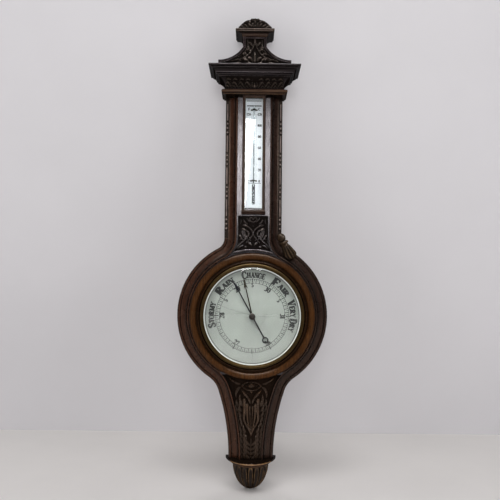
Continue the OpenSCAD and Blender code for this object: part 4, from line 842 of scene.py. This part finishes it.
LOWER = [
    ("stem", 1.3, 4.8, (-19.3, ROSETTE_Z), (-11, -135.4), (0, -133.6), (11, -135.4), (19.3, ROSETTE_Z)),
    ("stem", 1.5, 5.2, (-19.3, ROSETTE_Z), (-11, -148), (0, -150.2), (11, -148), (19.3, ROSETTE_Z)),
    ("dome", 1.9, 7.2, (0, ROSETTE_Z + 3.2), (0.6, ROSETTE_Z + 3.2)),
    ("dome", 1.6, 7.0, (2.6, ROSETTE_Z - 2.6), (2.8, ROSETTE_Z - 2.6)),
    ("dome", 1.5, 5.4, (9.6, ROSETTE_Z - 0.6), (10.4, ROSETTE_Z - 0.6)),
    ("leaf", 2.0, 6.0, (33, -134), (39, -130.4), (46, -124)),
    ("leaf", 2.6, 2.6, (22, -138), (30, -136), (38, -129)),
    ("leaf", 3.6, 3.0, (22, -144), (27, -148), (31, -157), (30, -166)),
    ("dome", 2.6, 5.6, (0, -153.8), (0, -153.4)),
    ("leaf", 3.4, 5.6, (5, -167), (11, -160), (16, -153.6), (20.6, -148.6)),
    ("leaf", 2.4, 4.6, (2, -177), (5, -168), (10, -161)),
    ("leaf", 3.6, 3.6, (17, -182), (21, -174), (23.4, -166), (22, -158)),
    ("flute", 4.4, 5.5, (0.6, -239), (5, -227), (10.6, -217), (14.2, -206), (13.4, -192), (13.8, -170)),
    ("flute", 3.3, 5.9, (0.4, -237), (4.6, -220), (7.4, -204), (8.2, -179)),
    ("flute", 2.3, 5.4, (0.2, -235), (1.8, -212), (2.9, -184)),
]
LOWER += [petal(math.radians(22.5 + 45 * k)) for k in range(-2, 2)]
LOWER += [small_leaf(row, z) for row in range(2) for z in np.arange(-287.0, -172.0, 10.5)]
LOWER += [foot_leaf(-260 - 9 * k) for k in range(4)]
LOWER += [("stem", 1.3, 3.4, (x, -283), (x, -268), (x, z)) for x, z in ((0, -247), (9.4, -241))]

PEDIMENT = [
    ("stem", 1.3, 4.6, (0.6, 552), (4.8, 541), (11, 531), (19, 524), (30, 519), (46, 515)),
    ("stem", 1.1, 3.4, (15, 559), (14.6, 548), (18, 538), (26, 529), (38, 522), (54, 517)),
    ("leaf", 2.2, 2.8, (0, 553), (0, 557), (0, 562)),
    ("leaf", 2.2, 3.4, (4.6, 546), (9, 551.6), (13, 554)),
    ("leaf", 2.4, 4.8, (8.4, 535), (12.4, 539.6), (13, 546)),
    ("leaf", 2.4, 4.8, (15, 526.4), (20, 530.6), (25, 531)),
    ("leaf", 3.0, 5.2, (4.6, 515), (8, 520), (13, 524)),
    ("leaf", 2.6, 5.0, (13, 515.4), (20, 519.6), (26.4, 518)),
    ("leaf", 3.0, 2.6, (0, 513), (0, 522), (0, 534)),
    ("leaf", 2.0, 3.8, (28, 515.6), (34, 518.2), (41, 515)),
    ("leaf", 2.4, 4.2, (3, 506.6), (12, 510.6), (20, 507)),
    ("leaf", 2.4, 4.0, (22, 506.6), (32, 511), (44, 508)),
    ("leaf", 1.8, 3.4, (46, 507), (55, 509.4), (64, 506.6)),
    ("dome", 1.7, 5.8, (14.6, 537), (15.2, 537.6)),
    ("dome", 1.9, 6.0, (11.4, 520.4), (12.4, 521.4)),
    ("dome", 1.7, 5.8, (20.2, 516.4), (21.2, 517.2)),
    ("dome", 1.7, 5.6, (22.4, 528), (23.4, 528.6)),
]


def frieze_leaves(x):
    """One repeat of the frieze: a long leaf with a small one above it and one below."""
    return [
        ("leaf", 1.7, 3.6, (x, 461), (x + 4, 467), (x + 9, 471), (x + 13, 466)),
        ("leaf", 1.4, 2.8, (x + 2, 475), (x + 7, 476.6), (x + 11, 474)),
        ("leaf", 1.4, 3.0, (x + 6, 461), (x + 9, 464.6), (x + 12, 461)),
    ]


FRIEZE = [
    ("leaf", 2.4, 4.6, (0, 458.6), (0, 463), (0, 471)),
    ("leaf", 1.6, 3.0, (1.4, 461), (5, 466), (4, 472)),
]
for repeat in range(4):
    FRIEZE += frieze_leaves(7 + 13 * repeat)

CREST = [
    ("dome", 2.4, 4.4, (0, 592.6), (0, 592.8)),
    ("dome", 2.4, 4.6, (10.4, 593), (10.4, 593.2)),
    ("dome", 2.0, 3.8, (0, 585.6), (0, 585.8)),
    ("leaf", 3.0, 4.0, (0, 595.4), (0, 598), (0, 601)),
    ("leaf", 1.7, 3.6, (3.6, 596.8), (6.6, 598.8), (9.2, 597.8)),
    ("leaf", 1.5, 4.0, (2.6, 583), (5.2, 588), (5.2, 593)),
    ("leaf", 2.0, 4.4, (6.6, 583.6), (11, 586.8), (15.4, 591)),
    ("leaf", 1.8, 4.0, (13.6, 594.6), (17.6, 594), (20.6, 591)),
    ("leaf", 1.9, 4.2, (13, 583), (18.6, 585.6), (23.6, 588.6)),
    ("leaf", 1.6, 3.6, (20, 581.8), (26, 583.6), (31.4, 584)),
]

# The reliefs that replace a node: piece, node, strokes, grid step, height of the ground over the node's back,
# thickness under it, height of the punched dots, their seed, wood and slot.
RELIEFS = (
    ("upper_relief", "upper_carving", UPPER, 0.6, 1.0, 0.9, 0.5, 3, carved_up, "oak_brown"),
    ("lower_relief", "lower_carving", LOWER, 0.7, 1.0, 0.9, 0.5, 4, carved_tail, "oak_brown"),
    ("pediment_relief", "pediment_carving", PEDIMENT, 0.6, 0.6, 0.5, 0.4, 5, carved_across, "oak_brown"),
    ("crest_relief", "crest", CREST, 0.5, 9.0, 9.0, 0.4, 6, carved_across, "oak_dark"),
)


def carvings():
    """The carved panels, and the leaves that lie on the frieze."""
    for name, node, strokes, step, up, back, ground, seed, material, slot in RELIEFS:
        box, bed = node_box(node), -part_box(node)[1].y / MM + up
        relief(name, node, strokes, box, step, bed, material, slot, (node,), back, ground, seed)
    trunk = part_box("left_bead_strip")[0].x / MM
    low, high = node_box("frieze")[2:]
    box = (trunk, -trunk, low + 2.6, high - 0.6)
    relief("frieze_relief", "frieze", FRIEZE, box, 0.5, None, carved_across, "oak_dark", (), 0.6, 0.3, 7)


# Turned and moulded pieces with finer carving


def shell(name, point, rows, columns, material, slot, stands_for):
    """A closed half-round piece: a skin of rows and columns with a flat back and closed ends."""
    spots = [point(i / rows, j / columns) for i in range(rows + 1) for j in range(columns + 1)]
    n = columns + 1
    cells = [(i * n + j, (i + 1) * n + j) for i in range(rows) for j in range(columns)]
    faces = [(a, b, b + 1, a + 1) for a, b in cells]
    faces += [(i * n, i * n + columns, (i + 1) * n + columns, (i + 1) * n) for i in range(rows)]
    faces.append(tuple(range(n)))
    faces.append(tuple(rows * n + j for j in reversed(range(n))))
    verts, carve_values = [s[:3] for s in spots], [s[3] for s in spots]
    return piece(name, verts, faces, material, slot, stands_for=stands_for, carve=carve_values)


def boss():
    """Half bowl of nine tongues, each with a raised outline round a hollow middle."""
    low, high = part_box("base_boss")
    radius, height = (high.x - low.x) / 2 / MM, (high.z - low.z) / MM
    top = design_z(high.z)
    tongues, deep, share = 9, math.radians(88), 0.94
    rim_at, rim_wide, rim_high = 0.74, 0.17, 1.7
    groove_at, groove_wide, groove_deep = 0.86, 0.12, 1.6
    full, taper, taper_from, round_to = 0.9, 0.3, 0.55, 0.2

    def point(s, a):
        wide = radius * math.cos(deep * s)
        u = (a * tongues) % 1.0 * 2 - 1
        narrow = full - taper * max(0.0, (s - taper_from) / (1 - taper_from)) ** 2
        across = math.hypot(u / narrow, max(0.0, round_to - s) * 4)
        rim = math.exp(-(((across - rim_at) / rim_wide) ** 2))
        groove = max(0.0, min(1.0, (abs(u) - groove_at) / groove_wide))
        raised = rim_high * rim - groove_deep * groove
        r = min(radius, max(wide * share + raised * min(1.0, wide / 12), 0.05))
        turn = math.pi * (1 - a)
        z = top - height * math.sin(deep * s) / math.sin(deep)
        # Painted light: raised outlines lighter, worn and as painted highlight; grooves darker as painted
        # shade.
        lit_share = min(1.0, 0.3 + 0.75 * rim) * (1 - groove)
        return (*place(r * math.cos(turn), r * math.sin(turn), z), lit_share)

    return shell("boss_carved", point, 44, 216, carved_boss, "oak_dark", ("base_boss",))


# The middle of the tassel's top and of its end, and its half width.
TASSEL_TOP, TASSEL_END, TASSEL_HALF = (54.0, 166.0), (81.2, 114.7), 14.0


def tassel():
    """Knotted tassel: a twisted round knot, a tied collar and a fluted skirt."""
    base = -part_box("shoulder_carving")[1].y / MM
    high = -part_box("shoulder_carving")[0].y / MM - base
    along = np.array(TASSEL_END) - np.array(TASSEL_TOP)
    across = np.array((-along[1], along[0])) / float(np.hypot(*along))
    knot, collar, spread = 0.3, 0.4, 0.82
    tied, flutes, fold_deep, cord_deep = 0.46, 6, 0.24, 0.12

    def half(s):
        """Half width at a share of the length: knot, collar, spreading skirt and its round end."""
        if s < knot:
            return 0.16 + 0.46 * math.sin(math.pi * (0.06 + 0.86 * s / knot)) ** 0.7
        if s < collar:
            return tied + 0.24 * math.sin(math.pi * (s - knot) / (collar - knot)) ** 0.5
        if s < spread:
            return tied + 0.52 * ((s - collar) / (spread - collar)) ** 0.85
        return 0.98 * math.sqrt(max(0.02, 1 - ((s - spread) / (1.01 - spread)) ** 2))

    def point(s, a):
        turn = math.pi * (1 - a)
        wide = TASSEL_HALF * half(s)
        tall = min(high * 0.95, 3 + 1.25 * wide)
        skirt = max(0.0, (s - collar) / (1 - collar))
        fold = (0.5 + 0.5 * math.cos(2 * math.pi * flutes * a)) ** 1.5 * min(1.0, 4 * skirt)
        cord = 0.5 + 0.5 * math.sin(8 * math.pi * a + 60 * s) if s < knot else 1.0
        lift = (1 - fold_deep * fold) * (1 - cord_deep * (1 - cord))
        x, z = np.array(TASSEL_TOP) + along * s + across * wide * math.cos(turn)
        # Painted shade: darker in the skirt's folds and between the twists of the cord.
        lit_share = (0.9 - 0.6 * fold) * (0.55 + 0.45 * cord)
        return (*place(x, base + 0.02 + tall * math.sin(turn) * lift, z), lit_share)

    return shell("tassel_carved", point, 90, 96, carved_tan, "oak_brown", ("shoulder_carving",))


def tube_faces(rings, n, closed=False, flipped=False):
    """Faces of a tube of rings with n points each. It has ends unless it closes on itself."""
    faces = []
    for i in range(rings if closed else rings - 1):
        p, q = i * n, (i + 1) % rings * n
        faces += [(p + k, p + (k + 1) % n, q + (k + 1) % n, q + k) for k in range(n)]
    if not closed:
        faces += [tuple(reversed(range(n))), tuple((rings - 1) * n + k for k in range(n))]
    return [tuple(reversed(f)) for f in faces] if flipped else faces


def ring_piece(name, r, w, half_w, half_h, first, last, centre_z, level, material, slot):
    """A thin rounded band along an arc: upright round the dial, or level round the shelf."""
    around, steps = 8, 120
    closed = last - first >= 360
    count = steps if closed else steps + 1
    verts = []
    for i in range(count):
        s, c = sine_cosine(first + (last - first) * i / steps)
        for k in range(around):
            b = 2 * math.pi * k / around
            far, up = r + half_w * math.cos(b), half_h * math.sin(b)
            ahead, high = (far * c, up) if level else (up, far * c)
            verts.append(place(far * s, w + ahead, centre_z + high))
    return piece(name, verts, tube_faces(count, around, closed, level), material, slot)


# The raised panel's half width, radius, hollow neck, top and the height at which its bead ends.
PANEL_HALF, PANEL_ROUND, NECK_R, PANEL_TOP, PANEL_END = 34.35, 128.85, 48.06, 446.6, -113.0


def panel_edge(by):
    """The raised panel's left edge, moved outwards by a distance: the trunk, hollow neck and round."""
    half, round_r, neck = PANEL_HALF + by, PANEL_ROUND + by, NECK_R - by
    up = math.sqrt((round_r + neck) ** 2 - (half + neck) ** 2)
    meet = math.atan2(up, half + neck)
    end = math.asin(PANEL_END / round_r)
    path = [(-half, PANEL_TOP + (up - PANEL_TOP) * i / 24) for i in range(25)]
    turns = [meet * i / 16 for i in range(1, 17)]
    path += [(-half - neck + neck * math.cos(a), up - neck * math.sin(a)) for a in turns]
    arc = [meet + (end - meet) * i / 60 for i in range(1, 61)]
    return path + [(-round_r * math.cos(a), round_r * math.sin(a)) for a in arc]


def panel_bead(name, side, material):
    """A half-round bead along the panel's edge."""
    face = -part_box("raised_panel")[0].y / MM
    middle, half, rise, sunk, around = 0.7, 1.9, 1.3, 0.3, 10
    turns = [math.pi * k / around for k in range(around + 1)]
    rails = [(panel_edge(middle + half * math.cos(b)), face + rise * math.sin(b)) for b in turns]
    rails += [(panel_edge(middle - half), face - sunk), (panel_edge(middle + half), face - sunk)]
    n, count = len(rails), len(rails[0][0])
    verts = [place(side * rail[i][0], w, rail[i][1]) for i in range(count) for rail, w in rails]
    return piece(name, verts, tube_faces(count, n, flipped=side > 0), material, "oak_brown")


# The bead round the panel's field above the dial: radius and half angle. The shelf's lip: half angle.
FIELD_R, FIELD_DEG, LIP_DEG = 131.9, 17.6, 52


def rims():
    """Painted shade and highlight rings on the bevel, and the shelf's lip, worn and a painted highlight."""
    low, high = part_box("dial_glass")
    face, radius = -low.y / MM, (high.x - low.x) / 2 / MM
    bevel, drop = 9.0, 1.35
    # A dark ring of painted shade and a pale ring of painted highlight, on the bevel's surface.
    for name, r, half, material, slot in (
        ("bevel_shade_line", radius - bevel + 0.6, 0.5, grey_ink, "black_steel"),
        ("bevel_glint", radius - bevel + 3.6, 0.75, glint_ink, "dial_white"),
    ):
        sunk = drop * max(0.0, r - radius + bevel) / bevel
        ring_piece(name, r, face - sunk, half, 0.06, 0, 360, 0.0, False, material, slot)
    field = -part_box("raised_panel")[0].y / MM
    ends = (-FIELD_DEG, FIELD_DEG)
    ring_piece("field_bead", FIELD_R, field, 2.0, 1.2, *ends, 0.0, False, head_wood, "oak_dark")
    low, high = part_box("shelf")
    reach, lip_z = (high.x - low.x) / 2 / MM - 0.7, design_z(high.z) - 1.6
    # A lighter strip on the shelf's front edge, worn and a painted highlight line.
    ring_piece("shelf_lip", reach, 0.0, 1.0, 0.9, -LIP_DEG, LIP_DEG, lip_z, True, honey_wood, "oak_ring")


dial_print()
dial_cracks()
thermometer_print()
carvings()
boss()
tassel()
rims()
panel_bead("left_panel_bead", 1, brown_lit_left)
panel_bead("right_panel_bead", -1, brown_shaded_right)


# Floor, wall, lamps and camera


def clouded(t, colour, scale, detail, share):
    """A paint with faint clouds, down to a share of its brightness."""
    colour = linear(*colour)
    shade = (*(share * c for c in colour[:3]), 1)
    return t.mix(t.level(t.noise(scale, detail), 0.3, 0.7), colour, shade)


def wall_material(name, colour):
    """Pale matt paint that only views from the front meet."""
    t = Tree(name)
    paint = t.add("BsdfDiffuse", {"Color": clouded(t, colour, 3.0, 3.0, 0.96)})
    clear = t.add("BsdfTransparent")
    path, side = t.add("LightPath"), t.add("NewGeometry")
    front = t.math("SUBTRACT", 1.0, side.outputs["Backfacing"])
    seen = t.math("ADD", path.outputs["Is Camera Ray"], path.outputs["Is Glossy Ray"])
    seen = t.math("MINIMUM", t.math("ADD", seen, path.outputs["Is Transmission Ray"]), 1.0)
    shown = t.times(seen, front)
    both = t.add("MixShader", {0: shown, 1: clear.outputs[0], 2: paint.outputs[0]})
    return t.surface(both.outputs[0])


def floor_material(name, colour):
    t = Tree(name)
    return t.principled({"Base Color": clouded(t, colour, 5.0, 4.0, 0.95), "Roughness": 0.7})


def sheet(name, corners, material):
    mesh = bpy.data.meshes.new(name)
    mesh.from_pydata(corners, [], [range(len(corners))])
    mesh.materials.append(material)
    obj = add_object(name, mesh)


# The wall leans: its depth near the head's height and at the floor, and the height of that upper point.
WALL_TOP_Y, WALL_FOOT_Y, WALL_TOP_Z = 0.012, 0.345, 0.115
SIDE = 4.0
slope = (WALL_TOP_Y - WALL_FOOT_Y) / (WALL_TOP_Z - FLOOR_Z)
WALL_HIGH = 1.6
wall_y = WALL_FOOT_Y + slope * (WALL_HIGH - FLOOR_Z)
foot_line = [(x, WALL_FOOT_Y, FLOOR_Z) for x in (-SIDE, SIDE)]
top_line = [(x, wall_y, WALL_HIGH) for x in (SIDE, -SIDE)]
sheet("wall", foot_line + top_line, wall_material("wall_paint", (211, 209, 212)))
floor_corners = [(x, y, FLOOR_Z) for x, y in ((-SIDE, -SIDE), (SIDE, -SIDE), (SIDE, SIDE), (-SIDE, SIDE))]
sheet("floor", floor_corners, floor_material("floor_paint", (226, 221, 219)))


def lamp(name, at, aim, width, height, power, tilt=0.0, lights=True, mirrored=True):
    """An area lamp. It can light without being mirrored, or be mirrored without lighting."""
    data = bpy.data.lights.new(name, "AREA")
    data.shape, data.size, data.size_y, data.energy = "RECTANGLE", width, height, power
    obj = add_object(name, data)
    turn = (Vector(aim) - Vector(at)).to_track_quat("-Z", "Y").to_matrix().to_4x4()
    obj.matrix_world = Matrix.Translation(at) @ turn @ Matrix.Rotation(math.radians(tilt), 4, "Z")
    obj.visible_diffuse, obj.visible_glossy, obj.visible_transmission = lights, mirrored, mirrored


# Place, aim, width, height and power of each lamp, in metres and watts.
MIDDLE = (0, 0, -0.35)
lamp("key", (-0.1, -1.15, 1.9), MIDDLE, 1.5, 0.6, 26)
lamp("front", (0.0, -2.1, -0.5), MIDDLE, 1.4, 1.4, 11.5, mirrored=False)
lamp("left", (-1.7, -1.1, -0.2), MIDDLE, 0.8, 1.2, 8, mirrored=False)
lamp("right", (1.7, -1.1, -0.2), MIDDLE, 0.8, 1.2, 10, mirrored=False)
lamp("back_left", (-1.6, 1.5, 1.0), MIDDLE, 1.0, 1.0, 10, mirrored=False)
lamp("back_right", (1.6, 1.5, 1.0), MIDDLE, 1.0, 1.0, 10, mirrored=False)
lamp("ceiling", (0.0, -0.9, 2.2), MIDDLE, 2.4, 0.4, 200, lights=False)
lamp("window_left", (-0.076, -1.5, 0.115), (-0.076, 0.0, 0.115), 0.13, 0.5, 2.8, -6.5)
lamp("window_right", (0.1, -1.5, 0.135), (0.1, 0.0, 0.135), 0.07, 0.53, 1.9)

world = bpy.data.worlds.new("studio")
bpy.context.scene.world = world
world.use_nodes = True
background = world.node_tree.nodes["Background"].inputs
background["Color"].default_value = (0.94, 0.95, 0.97, 1)
background["Strength"].default_value = 0.15

camera_data = bpy.data.cameras.new("camera")
camera_data.sensor_width = 36.0
camera_data.lens = 36.1
camera_data.clip_start, camera_data.clip_end = 0.05, 30.0
camera = add_object("camera", camera_data)
CAMERA_AT, CAMERA_PITCH, CAMERA_ROLL = (-0.0057, -1.042, -0.3907), 2.2, 0.6
camera.matrix_world = (
    Matrix.Translation(CAMERA_AT)
    @ Matrix.Rotation(math.radians(90 + CAMERA_PITCH), 4, "X")
    @ Matrix.Rotation(math.radians(CAMERA_ROLL), 4, "Z")
)
bpy.context.scene.camera = camera
bpy.context.scene.view_settings.view_transform = "Standard"
